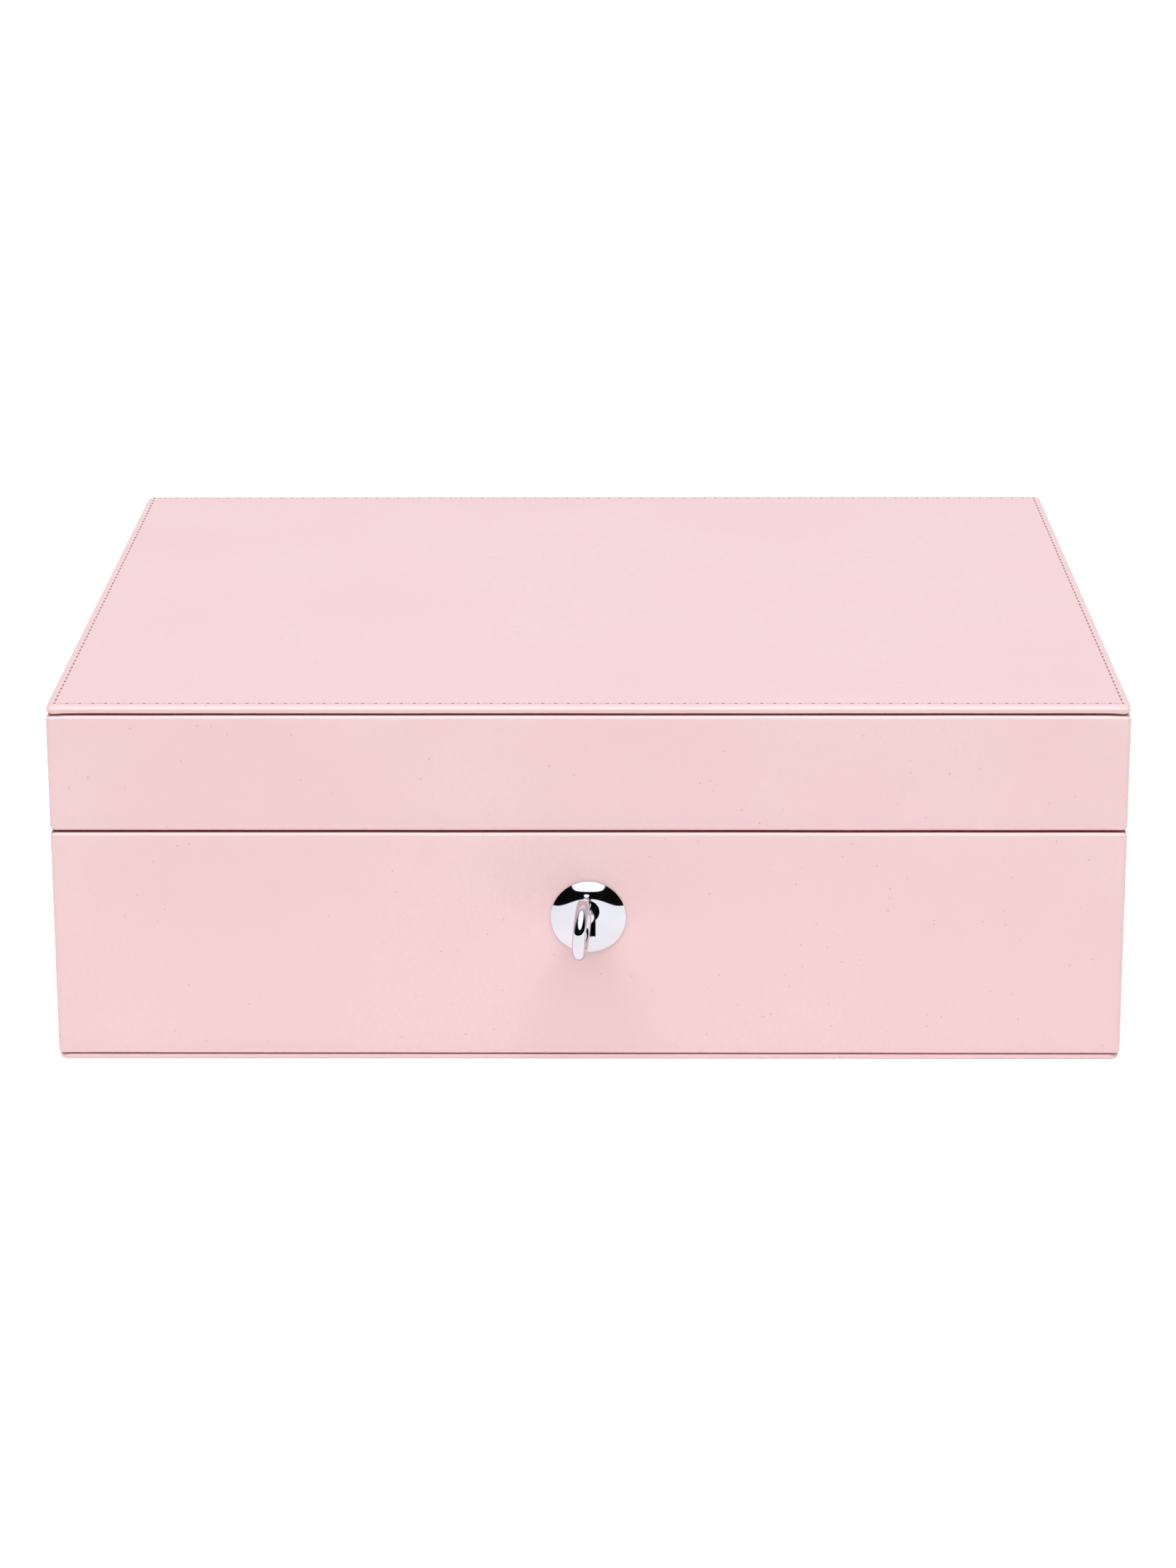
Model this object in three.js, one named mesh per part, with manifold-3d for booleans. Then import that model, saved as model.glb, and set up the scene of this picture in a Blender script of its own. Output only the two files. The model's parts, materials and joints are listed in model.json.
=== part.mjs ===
// A leather-covered jewellery chest: a padded lid on stop hinges, a keyed box lock and two lift-out trays.
// Millimetres. Origin at the centre of the underside, +X to the right, +Y to the hinges, +Z up.
import * as THREE from 'three';
import { mergeVertices } from 'three/addons/utils/BufferGeometryUtils.js';
import Module from 'manifold-3d';

const wasm = await Module();
wasm.setup();

// ---- driving dimensions ----
const WIDTH = 290;
const DEPTH = 233;
const HEIGHT = 101;
const GAP = 0.3;
const CORNER = 2.5;

const COVER_THICK = 1.4;
const SEAM_Z = 65.45;
const SEAM_HALF = 0.15;
const PANEL_THICK = 2.5;
const PANEL_EDGE = 2;
const LEATHER = 1;
const SKIN_CORNER = 1;
const WALL = 9;
const LINING = 1.5;
const LIP = 4;

const FLOOR_THICK = 4;
const PAD_THICK = 3.5;
const BOARD_THICK = 5;
const TOP_PAD_THICK = 2.6;
const DIVIDER_THICK = 3;
const LOWER_DIVIDER_X = 44;

const TRAY_FLOOR_Z = 36.3;
const TRAY_HEIGHT = 26;
const TRAY_WALL = 3;
const TRAY_FLOOR = 2.5;
const ROLL_COUNT = 5;
const ROLL_PITCH = 20;
const ROLL_HEIGHT = 19;
const TAB_Y = [46, 58];
const TAB_Z = [44, 68.5];
const TAB_THICK = 1.2;

const MIRROR = { x: 95, y: 70, thick: 1.3, border: 6, lip: 1.8 };

const HINGE_X = 85;
const HINGE_LENGTH = 32;
const HINGE_AXIS_Y = 117.9;
const LEAF_THICK = 0.9;
const LEAF_FRONT_Y = 108;
const BARREL_R = 2.3;
const PIN_R = 0.75;
const PIN_BORE_R = 0.95;
const BARREL_CLEAR_R = 2.6;
const LEAF_SCREW = { x: 9, y: 111.4, r: 1.2 };

const KEY_Z = 43.7;
const KEYHOLE_R = 2.9;
const KEYHOLE_HALF = 1.9;
const KEYHOLE_DROP = 7.1;
const PLATE_Z = 41.4;
const PLATE_R = 10.15;
const PLATE_RIM = 0.4;
const DOME = 2.1;
const DOME_POWER = 3.8;
const PRONG_X = [-7.6, 7.6];
const PRONG_HALF = 0.5;
const SHEET = 0.8;

const KEY_PIVOT_Y = -112.8;
const KEY_LEAN = 6.2;
const KEY_DROOP = 2;
const KEY_ROLL = 4;
const SHANK_R = 1.3;
const BOW_R = 8;
const BOW_RADIAL = 3.2;
const BOW_THICK = 3.5;
const BOW_DISTANCE = 18.9;
const BIT_DROP = 5.6;
const BIT_THICK = 1.2;

const CASE_X = [-20.3, 26.8];
const CASE_Z = [34.4, 64.2];
const CASE_FRONT_Y = -112.9;
const CASE_ENTRY_CLEAR = 0.4;
const HOOK_X = [-17, 9];
const HOOK_STEM = 2;
const HOOK_FOOT = 7.5;
const HOOK_FOOT_Z = [52.7, 54.5];
const HOOK_CLEAR_FRONT = 0.8;
const HOOK_CLEAR_BACK = 0.7;
const BOLT_Y = [-109.3, -107.6];
const BOLT_BAR_Z = [49.6, 52.4];
const BOLT_TRAVEL = 5.94;
const TOOTH_Z = [54.9, 57];
const TOOTH_CLEAR = 0.75;
const RISER_CLEAR = 0.36;
const RISER_THICK = 2.7;
const FORK_HALF = 2.6;
const FORK_SLOT_HALF = 1.1;
const FORK_BOTTOM = 46.1;
const CAM_R = 7.6;
const CAM_Y = [-111.8, -109.6];
const CAM_PIVOT_R = 1.9;
const CAM_PIN_R = 0.8;
const CAM_PIN_ORBIT = 4.2;
const KEYWAY = { radius: 2.1, half: 1.2, drop: 6.6, back: -110 };
const LOCK_SCREW_X = [-23.7, 30.2];
const SELVEDGE_X = [-27, 33.5];
const SELVEDGE_Y = [-112.9, -106.6];
const SCREW_HEAD_R = 1.5;
const SCREW_R = 0.8;
const SCREW_LENGTH = 8;
const SCREW_SINK = 0.2;

// ---- heights and faces that follow from them ----
const BASE_TOP = SEAM_Z - SEAM_HALF;
const LID_BOTTOM = SEAM_Z + SEAM_HALF;
const BASE_BOTTOM = COVER_THICK + GAP;
const PANEL_BOTTOM = HEIGHT - PANEL_THICK;
const LID_TOP = PANEL_BOTTOM - GAP;
const WALL_X = WIDTH / 2 - LEATHER - GAP;
const WALL_Y = DEPTH / 2 - LEATHER - GAP;
const INNER_X = WALL_X - WALL;
const INNER_Y = WALL_Y - WALL;
const LINED_X = INNER_X - GAP - LINING;
const LINED_Y = INNER_Y - GAP - LINING;
const BASE_WALL_TOP = BASE_TOP - LEATHER - GAP;
const LID_WALL_BOTTOM = LID_BOTTOM + LEATHER + GAP;
const LID_BOARD_BOTTOM = LID_TOP - BOARD_THICK;
const TOP_PAD_BOTTOM = LID_BOARD_BOTTOM - GAP - TOP_PAD_THICK;
const FLOOR_TOP = BASE_BOTTOM + FLOOR_THICK;
const PAD_TOP = FLOOR_TOP + GAP + PAD_THICK;
const CASE_BACK_Y = -INNER_Y;
const LOCK_SCREW_Y = (SELVEDGE_Y[0] + SELVEDGE_Y[1]) / 2;
const CAM_PIN_OFFSET = CAM_PIN_ORBIT * Math.SQRT1_2;

// ---- materials ----
const surface = (color, roughness, metalness = 0) =>
  new THREE.MeshStandardMaterial({ color, roughness, metalness });
const pinkLeather = surface(0xf3cfd1, 0.5);
const suede = surface(0xe9c3c4, 0.95);
const board = surface(0xb99a75, 0.8);
const nickel = surface(0xe4e4e6, 0.08, 1);
const brass = surface(0xc9a45a, 0.35, 1);
const steel = surface(0x9a9ca0, 0.35, 1);
const blackened = surface(0x1a1817, 0.5, 1);
const silvered = surface(0xdfe6ea, 0.03, 1);

// ---- solids ----
function solid(geometry) {
  const bare = geometry.clone();
  bare.deleteAttribute('normal');
  bare.deleteAttribute('uv');
  const merged = mergeVertices(bare, 1e-4);
  const vertProperties = new Float32Array(merged.attributes.position.array);
  const triVerts = new Uint32Array(merged.index.array);
  return new wasm.Manifold(new wasm.Mesh({ numProp: 3, vertProperties, triVerts }));
}

function geometryOf(manifold) {
  const mesh = manifold.getMesh();
  const geometry = new THREE.BufferGeometry();
  geometry.setAttribute('position', new THREE.BufferAttribute(mesh.vertProperties, 3));
  geometry.setIndex(new THREE.BufferAttribute(mesh.triVerts, 1));
  geometry.computeVertexNormals();
  return geometry;
}

function join(...pieces) {
  const [first, ...rest] = pieces.map(solid);
  return geometryOf(rest.reduce((whole, piece) => whole.add(piece), first));
}

function cut(piece, ...tools) {
  return geometryOf(tools.map(solid).reduce((whole, tool) => whole.subtract(tool), solid(piece)));
}

function block([x0, x1], [y0, y1], [z0, z1]) {
  const geometry = new THREE.BoxGeometry(x1 - x0, y1 - y0, z1 - z0);
  return geometry.translate((x0 + x1) / 2, (y0 + y1) / 2, (z0 + z1) / 2);
}

function roundedOutline(path, halfX, halfY, radius) {
  const x = halfX - radius;
  const y = halfY - radius;
  path.moveTo(x, -halfY);
  path.absarc(x, -y, radius, -Math.PI / 2, 0);
  path.absarc(x, y, radius, 0, Math.PI / 2);
  path.absarc(-x, y, radius, Math.PI / 2, Math.PI);
  path.absarc(-x, -y, radius, Math.PI, Math.PI * 1.5);
  return path;
}

function slab(halfX, halfY, radius, [z0, z1], hole) {
  const shape = roundedOutline(new THREE.Shape(), halfX, halfY, radius);
  if (hole) shape.holes.push(roundedOutline(new THREE.Path(), hole.x, hole.y, hole.radius));
  const settings = { depth: z1 - z0, bevelEnabled: false, curveSegments: 4 };
  return new THREE.ExtrudeGeometry(shape, settings).translate(0, 0, z0);
}

// A profile in the Y-Z plane, drawn out along X.
function sectionAlongX(points, [x0, x1]) {
  const shape = new THREE.Shape(points.map(([y, z]) => new THREE.Vector2(y, z)));
  const geometry = new THREE.ExtrudeGeometry(shape, { depth: x1 - x0, bevelEnabled: false });
  geometry.applyMatrix4(new THREE.Matrix4().makeBasis(
    new THREE.Vector3(0, 1, 0), new THREE.Vector3(0, 0, 1), new THREE.Vector3(1, 0, 0)));
  return geometry.translate(x0, 0, 0);
}

// A profile in the X-Z plane, drawn out along Y.
function sectionAlongY(shape, [y0, y1], curveSegments = 8) {
  const geometry = new THREE.ExtrudeGeometry(shape, { depth: y1 - y0, bevelEnabled: false, curveSegments });
  return geometry.rotateX(Math.PI / 2).translate(0, y1, 0);
}

function rodX(radius, y, z, [x0, x1], sides = 20) {
  const geometry = new THREE.CylinderGeometry(radius, radius, x1 - x0, sides);
  return geometry.rotateZ(Math.PI / 2).translate((x0 + x1) / 2, y, z);
}

function rodY(radius, x, z, [y0, y1], sides = 24) {
  return new THREE.CylinderGeometry(radius, radius, y1 - y0, sides).translate(x, (y0 + y1) / 2, z);
}

function rodZ(radius, x, y, [z0, z1], sides = 12) {
  const geometry = new THREE.CylinderGeometry(radius, radius, z1 - z0, sides);
  return geometry.rotateX(Math.PI / 2).translate(x, y, (z0 + z1) / 2);
}

function lathe(points, turns) {
  return new THREE.LatheGeometry(points.map(([r, y]) => new THREE.Vector2(r, y)), turns);
}

// The opening a warded key passes, round its own axis: a round hole with a slot under it.
function wardedHole(radius, half, drop, ys) {
  const shape = new THREE.Shape();
  const meet = Math.asin(half / radius);
  shape.absarc(0, 0, radius, -Math.PI / 2 + meet, Math.PI * 1.5 - meet);
  shape.lineTo(-half, -drop);
  shape.lineTo(half, -drop);
  return sectionAlongY(shape, ys);
}

// The keyhole through the front, larger all round by a clearance.
function keyhole(clear, ys) {
  return wardedHole(KEYHOLE_R + clear, KEYHOLE_HALF + clear, KEYHOLE_DROP + clear, ys).translate(0, 0, KEY_Z);
}

// ---- the assembly ----
const chest = new THREE.Group();
const base = new THREE.Group();
const lid = new THREE.Group();
chest.add(base, lid);

function place(parent, name, geometry, material) {
  const mesh = new THREE.Mesh(geometry, material);
  mesh.name = name;
  parent.add(mesh);
  return mesh;
}

// Four boards round a rectangle: front and back run full width, the sides fit between them.
function fourSides(parent, prefix, halfX, halfY, thick, zs, material, shapeSide = (geometry) => geometry) {
  const sideY = halfY - thick - GAP;
  const sides = {
    front: block([-halfX, halfX], [-halfY, thick - halfY], zs),
    back: block([-halfX, halfX], [halfY - thick, halfY], zs),
    left: block([-halfX, thick - halfX], [-sideY, sideY], zs),
    right: block([halfX - thick, halfX], [-sideY, sideY], zs),
  };
  for (const [side, geometry] of Object.entries(sides)) {
    place(parent, `${prefix}_${side}`, shapeSide(geometry, side), material);
  }
}

const hingeSpans = [-HINGE_X, HINGE_X].map((x) => [x - HINGE_LENGTH / 2, x + HINGE_LENGTH / 2]);
const grown = ([a, b], by) => [a - by, b + by];

// Room for the hinge barrel and leaves at the back edge of a cover.
function hingeRoom() {
  return hingeSpans.flatMap((span) => [
    rodX(BARREL_CLEAR_R, HINGE_AXIS_Y, SEAM_Z, grown(span, GAP)),
    block(grown(span, GAP), [LEAF_FRONT_Y - GAP, DEPTH / 2 + 1], grown([BASE_WALL_TOP, LID_WALL_BOTTOM], GAP)),
  ]);
}

function lockPlateRoom() {
  return block(grown(SELVEDGE_X, GAP), grown(SELVEDGE_Y, GAP), grown([BASE_WALL_TOP, LID_WALL_BOTTOM], GAP));
}

// The two prongs that hold the keyhole plate, or with a clearance the holes that they pass.
function prongs(clear, ys) {
  const half = PRONG_HALF + clear;
  return PRONG_X.map((x) => block([x - half, x + half], ys, [PLATE_Z - half, PLATE_Z + half]));
}

// ---- base ----
function buildBase() {
  const outer = { x: WIDTH / 2, y: DEPTH / 2 };
  const skinHole = { x: outer.x - LEATHER, y: outer.y - LEATHER, radius: SKIN_CORNER };
  const rimHole = { x: INNER_X, y: INNER_Y, radius: 0.5 };

  place(base, 'bottom_cover', slab(outer.x - 0.3, outer.y - 0.3, CORNER, [0, COVER_THICK]), pinkLeather);

  const skin = join(
    slab(outer.x, outer.y, CORNER, [BASE_BOTTOM, BASE_TOP - LEATHER / 2], skinHole),
    slab(outer.x, outer.y, CORNER, [BASE_TOP - LEATHER, BASE_TOP], rimHole),
  );
  const frontHoles = [
    keyhole(0.2, [-DEPTH / 2 - 1, -WALL_Y + 1]),
    ...prongs(GAP, [-DEPTH / 2 - 1, -WALL_Y + 1]),
  ];
  place(base, 'base_leather', cut(skin, ...hingeRoom(), lockPlateRoom(), ...frontHoles), pinkLeather);

  const lockRoom = [
    block(grown(CASE_X, GAP), [CASE_FRONT_Y - GAP, CASE_BACK_Y + 1], [CASE_Z[0] - GAP, BASE_TOP]),
    keyhole(CASE_ENTRY_CLEAR, [-WALL_Y - 1, CASE_FRONT_Y]),
    ...prongs(GAP, [-WALL_Y - 1, CASE_FRONT_Y]),
    ...LOCK_SCREW_X.map((x) => rodZ(SCREW_R + GAP, x, LOCK_SCREW_Y, [BASE_TOP - SCREW_LENGTH - 1, BASE_TOP])),
  ];
  const carve = (geometry, side) => (side === 'front' ? cut(geometry, ...lockRoom) : geometry);
  fourSides(base, 'base_wall', WALL_X, WALL_Y, WALL, [BASE_BOTTOM, BASE_WALL_TOP], board, carve);

  const insideX = INNER_X - GAP;
  const insideY = INNER_Y - GAP;
  const floorZ = [BASE_BOTTOM, FLOOR_TOP];
  place(base, 'base_floor', block([-insideX, insideX], [-insideY, insideY], floorZ), board);
  fourSides(base, 'base_lining', insideX, insideY, LINING, [FLOOR_TOP + GAP, BASE_TOP + LIP], suede);

  const padX = LINED_X - GAP;
  const padY = LINED_Y - GAP;
  place(base, 'base_pad', block([-padX, padX], [-padY, padY], [FLOOR_TOP + GAP, PAD_TOP]), suede);

  const railZ = [PAD_TOP + GAP, TRAY_FLOOR_Z - GAP];
  const railInner = padY - DIVIDER_THICK;
  place(base, 'tray_rail_front', block([-padX, padX], [-padY, -railInner], railZ), suede);
  place(base, 'tray_rail_back', block([-padX, padX], [railInner, padY], railZ), suede);
  for (const [side, x] of [['left', -LOWER_DIVIDER_X], ['right', LOWER_DIVIDER_X]]) {
    const xs = [x - DIVIDER_THICK / 2, x + DIVIDER_THICK / 2];
    const ys = [GAP - railInner, railInner - GAP];
    place(base, `lower_divider_${side}`, block(xs, ys, railZ), suede);
  }
}

// ---- trays ----
function buildTray(side) {
  const sign = side === 'left' ? -1 : 1;
  const nearX = 0.4;
  const farX = LINED_X - 0.4;
  const halfY = LINED_Y - 0.4;
  const tray = new THREE.Group();
  chest.add(tray);
  const acrossX = (a, b) => [Math.min(sign * a, sign * b), Math.max(sign * a, sign * b)];
  const zs = [TRAY_FLOOR_Z, TRAY_FLOOR_Z + TRAY_HEIGHT];
  const cellZ = [TRAY_FLOOR_Z + TRAY_FLOOR, zs[1] + 1];
  const middleX = (nearX + farX) / 2;
  const half = DIVIDER_THICK / 2;
  const columns = [[nearX + TRAY_WALL, middleX - half], [middleX + half, farX - TRAY_WALL]];

  const cells = [];
  if (side === 'left') {
    cells.push([[nearX + TRAY_WALL, farX - TRAY_WALL], [TRAY_WALL - halfY, 0]]);
    columns.forEach((xs) => cells.push([xs, [DIVIDER_THICK, halfY - TRAY_WALL]]));
  } else {
    const depth = (2 * (halfY - TRAY_WALL) - 2 * DIVIDER_THICK) / 3;
    for (let row = 0; row < 3; row += 1) {
      const y0 = TRAY_WALL - halfY + row * (depth + DIVIDER_THICK);
      columns.forEach((xs) => cells.push([xs, [y0, y0 + depth]]));
    }
  }
  const hollows = cells.map(([xs, ys]) => block(acrossX(...xs), ys, cellZ));
  const tub = cut(block(acrossX(nearX, farX), [-halfY, halfY], zs), ...hollows);
  place(tray, `tray_${side}`, tub, suede);

  const tabX = nearX + TRAY_WALL + GAP;
  place(tray, `tray_${side}_tab`, block(acrossX(tabX, tabX + TAB_THICK), TAB_Y, TAB_Z), pinkLeather);
  if (side === 'left') buildRingRolls(tray, acrossX(nearX + TRAY_WALL + GAP, farX - TRAY_WALL - GAP), halfY);
}

// Foam rolls covered in suede, lying side by side; a ring is pushed down between two of them.
function buildRingRolls(tray, xs, halfY) {
  const z0 = TRAY_FLOOR_Z + TRAY_FLOOR + GAP;
  const halfWidth = (ROLL_PITCH - 2 * GAP) / 2;
  for (let i = 0; i < ROLL_COUNT; i += 1) {
    const y = TRAY_WALL - halfY + (i + 0.5) * ROLL_PITCH;
    const outline = [[y - halfWidth, z0], [y + halfWidth, z0]];
    for (let step = 0; step <= 8; step += 1) {
      const turn = (Math.PI * step) / 8;
      outline.push([y + halfWidth * Math.cos(turn), z0 + ROLL_HEIGHT - halfWidth * (1 - Math.sin(turn))]);
    }
    place(tray, `ring_roll_${i + 1}`, sectionAlongX(outline, xs), suede);
  }
}

// ---- lid ----
function buildLid() {
  const outer = { x: WIDTH / 2, y: DEPTH / 2 };
  const skinHole = { x: outer.x - LEATHER, y: outer.y - LEATHER, radius: SKIN_CORNER };
  const rimHole = { x: INNER_X, y: INNER_Y, radius: 0.5 };
  const skin = join(
    slab(outer.x, outer.y, CORNER, [LID_BOTTOM + LEATHER / 2, LID_TOP], skinHole),
    slab(outer.x, outer.y, CORNER, [LID_BOTTOM, LID_BOTTOM + LEATHER], rimHole),
  );
  place(lid, 'lid_leather', cut(skin, ...hingeRoom(), lockPlateRoom()), pinkLeather);

  const top = LID_BOTTOM + SCREW_LENGTH + 1;
  const screwRoom = LOCK_SCREW_X.map((x) => rodZ(SCREW_R + GAP, x, LOCK_SCREW_Y, [LID_BOTTOM, top]));
  const carve = (geometry, side) => (side === 'front' ? cut(geometry, ...screwRoom) : geometry);
  fourSides(lid, 'lid_wall', WALL_X, WALL_Y, WALL, [LID_WALL_BOTTOM, LID_TOP], board, carve);

  const insideX = INNER_X - GAP;
  const insideY = INNER_Y - GAP;
  const boardZ = [LID_BOARD_BOTTOM, LID_TOP];
  place(lid, 'lid_board', block([-insideX, insideX], [-insideY, insideY], boardZ), board);
  const liningZ = [BASE_TOP + LIP + 0.7, LID_BOARD_BOTTOM - GAP];
  fourSides(lid, 'lid_lining', insideX, insideY, LINING, liningZ, suede);
  const padX = LINED_X - GAP;
  const padY = LINED_Y - GAP;
  const padZ = [TOP_PAD_BOTTOM, LID_BOARD_BOTTOM - GAP];
  place(lid, 'lid_lining_top', block([-padX, padX], [-padY, padY], padZ), suede);
  buildMirror();

  const boardX = outer.x - PANEL_EDGE;
  const boardY = outer.y - PANEL_EDGE;
  const innerBoard = slab(boardX, boardY, CORNER, [PANEL_BOTTOM, HEIGHT - LEATHER - GAP]);
  const pocket = slab(boardX + GAP, boardY + GAP, CORNER, [PANEL_BOTTOM - 1, HEIGHT - LEATHER]);
  const cover = slab(outer.x, outer.y, CORNER, [PANEL_BOTTOM, HEIGHT]);
  place(lid, 'lid_panel_board', innerBoard, board);
  place(lid, 'lid_panel_leather', cut(cover, pocket), pinkLeather);
}

function buildMirror() {
  const top = TOP_PAD_BOTTOM - GAP;
  const glassZ = [top - MIRROR.thick, top];
  place(lid, 'lid_mirror', slab(MIRROR.x, MIRROR.y, 1, glassZ), silvered);
  const frontZ = glassZ[0] - GAP - 0.9;
  const frame = cut(
    slab(MIRROR.x + MIRROR.border, MIRROR.y + MIRROR.border, 3, [frontZ, top]),
    slab(MIRROR.x + GAP, MIRROR.y + GAP, 1, [glassZ[0] - GAP, top + 1]),
    slab(MIRROR.x - MIRROR.lip, MIRROR.y - MIRROR.lip, 1, [frontZ - 1, top]),
  );
  place(lid, 'lid_mirror_frame', frame, pinkLeather);
}

// ---- hinges ----
// Each leaf carries its knuckles and a heel; the heels meet when the lid stands a little past upright.
function hingeLeaf(span, ownSpans, up) {
  const at = (points) => points.map(([v, w]) => [HINGE_AXIS_Y + v, SEAM_Z + up * w]);
  const leafZ = [0.2, 0.2 + LEAF_THICK];
  const strip = (toY, xs) => block(xs, [LEAF_FRONT_Y, toY],
    up > 0 ? [SEAM_Z + leafZ[0], SEAM_Z + leafZ[1]] : [SEAM_Z - leafZ[1], SEAM_Z - leafZ[0]]);
  const heel = at([[-1, 2.5], [0.3, 2.75], [1.72, 2], [2.86, 3.35], [1.8, 4.6], [-1, 4.6]]);
  const root = at([[-1, 0.5], [1, 1.17], [1.9, 2.2], [-1, 2.9]]);
  const centre = (span[0] + span[1]) / 2;
  const body = join(
    strip(HINGE_AXIS_Y - BARREL_CLEAR_R, span),
    sectionAlongX(heel, span),
    ...ownSpans.flatMap((xs) => [
      strip(HINGE_AXIS_Y - 0.2, grown(xs, -0.1)),
      rodX(BARREL_R, HINGE_AXIS_Y, SEAM_Z, xs),
      sectionAlongX(root, grown(xs, -0.2)),
    ]),
  );
  return cut(body,
    rodX(PIN_BORE_R, HINGE_AXIS_Y, SEAM_Z, grown(span, 1)),
    ...[-LEAF_SCREW.x, LEAF_SCREW.x].map((x) =>
      rodZ(LEAF_SCREW.r, centre + x, LEAF_SCREW.y, [SEAM_Z - 3, SEAM_Z + 3])));
}

function buildHinge(side, span) {
  const third = HINGE_LENGTH / 3;
  const [x0, x1] = span;
  const outerSpans = [[x0, x0 + third - GAP / 2], [x1 - third + GAP / 2, x1]];
  const middleSpan = [[x0 + third + GAP / 2, x1 - third - GAP / 2]];
  place(base, `hinge_${side}_base_leaf`, hingeLeaf(span, outerSpans, -1), nickel);
  place(lid, `hinge_${side}_lid_leaf`, hingeLeaf(span, middleSpan, 1), nickel);
  place(base, `hinge_${side}_pin`, rodX(PIN_R, HINGE_AXIS_Y, SEAM_Z, span), steel);
}

// ---- lock ----
// Flat-headed wood screw with a driver slot, head at z = 0 and point towards -Z times the given direction.
function woodScrew(x, z, down) {
  const profile = [[0, 0], [SCREW_HEAD_R, 0], [SCREW_R, 0.7], [SCREW_R, SCREW_LENGTH - 2], [0, SCREW_LENGTH]];
  const screw = lathe(profile, 12);
  screw.rotateX(down ? -Math.PI / 2 : Math.PI / 2);
  const slot = block([-2, 2], [-0.2, 0.2], [-0.3, 0.3]);
  return cut(screw, slot).translate(x, LOCK_SCREW_Y, z);
}

function screwSeats(z, down) {
  return LOCK_SCREW_X.map((x) => {
    const length = SHEET + 2;
    const wide = SCREW_HEAD_R + GAP + 0.3;
    const seat = new THREE.CylinderGeometry(wide, SCREW_R + GAP, length, 12);
    seat.rotateX(down ? Math.PI / 2 : -Math.PI / 2);
    const middle = length / 2 - SCREW_SINK;
    return seat.translate(x, LOCK_SCREW_Y, down ? z - middle : z + middle);
  });
}

// A hook hangs from the lid's plate: a stem with a foot that points to the right.
function hook(x) {
  const left = x - HOOK_STEM / 2;
  return [
    block([left, left + HOOK_STEM], BOLT_Y, [HOOK_FOOT_Z[0], LID_BOTTOM + SHEET / 2]),
    block([left, left + HOOK_FOOT], BOLT_Y, HOOK_FOOT_Z),
  ];
}

function buildLock() {
  const innerY = [CASE_FRONT_Y + SHEET, CASE_BACK_Y];
  const caseBox = block(CASE_X, [CASE_FRONT_Y, CASE_BACK_Y - SHEET - GAP], CASE_Z);
  const hollow = block(grown(CASE_X, -SHEET), innerY, [CASE_Z[0] + SHEET, CASE_Z[1] + 1]);
  const entry = keyhole(CASE_ENTRY_CLEAR, [CASE_FRONT_Y - 1, innerY[0] + 0.5]);
  place(base, 'lock_case', cut(caseBox, hollow, entry), steel);

  const pivotHole = rodY(CAM_PIVOT_R + GAP, 0, KEY_Z, [CASE_BACK_Y - 2, CASE_BACK_Y + 1]);
  place(base, 'lock_cap', cut(block(CASE_X, [CASE_BACK_Y - SHEET, CASE_BACK_Y], CASE_Z), pivotHole), steel);

  const selvedgeZ = [BASE_TOP - SHEET, BASE_TOP];
  const slotYs = [BOLT_Y[0] - HOOK_CLEAR_FRONT, BOLT_Y[1] + HOOK_CLEAR_BACK];
  const slots = HOOK_X.map((x) => block([x - HOOK_STEM / 2 - GAP, x - HOOK_STEM / 2 + HOOK_FOOT + GAP],
    slotYs, [BASE_TOP - 2, BASE_TOP + 1]));
  const selvedge = cut(block(SELVEDGE_X, SELVEDGE_Y, selvedgeZ), ...slots, ...screwSeats(BASE_TOP, true));
  place(base, 'lock_selvedge', selvedge, nickel);
  place(base, 'lock_screw_left', woodScrew(LOCK_SCREW_X[0], BASE_TOP - SCREW_SINK, true), nickel);
  place(base, 'lock_screw_right', woodScrew(LOCK_SCREW_X[1], BASE_TOP - SCREW_SINK, true), nickel);

  const linkZ = [LID_BOTTOM, LID_BOTTOM + SHEET];
  const link = join(block(SELVEDGE_X, SELVEDGE_Y, linkZ), ...HOOK_X.flatMap(hook));
  place(lid, 'link_plate', cut(link, ...screwSeats(LID_BOTTOM, false)), nickel);
  place(lid, 'link_screw_left', woodScrew(LOCK_SCREW_X[0], LID_BOTTOM + SCREW_SINK, false), nickel);
  place(lid, 'link_screw_right', woodScrew(LOCK_SCREW_X[1], LID_BOTTOM + SCREW_SINK, false), nickel);

  buildBolt();
  buildCam();
  buildSpring();
}

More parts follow.
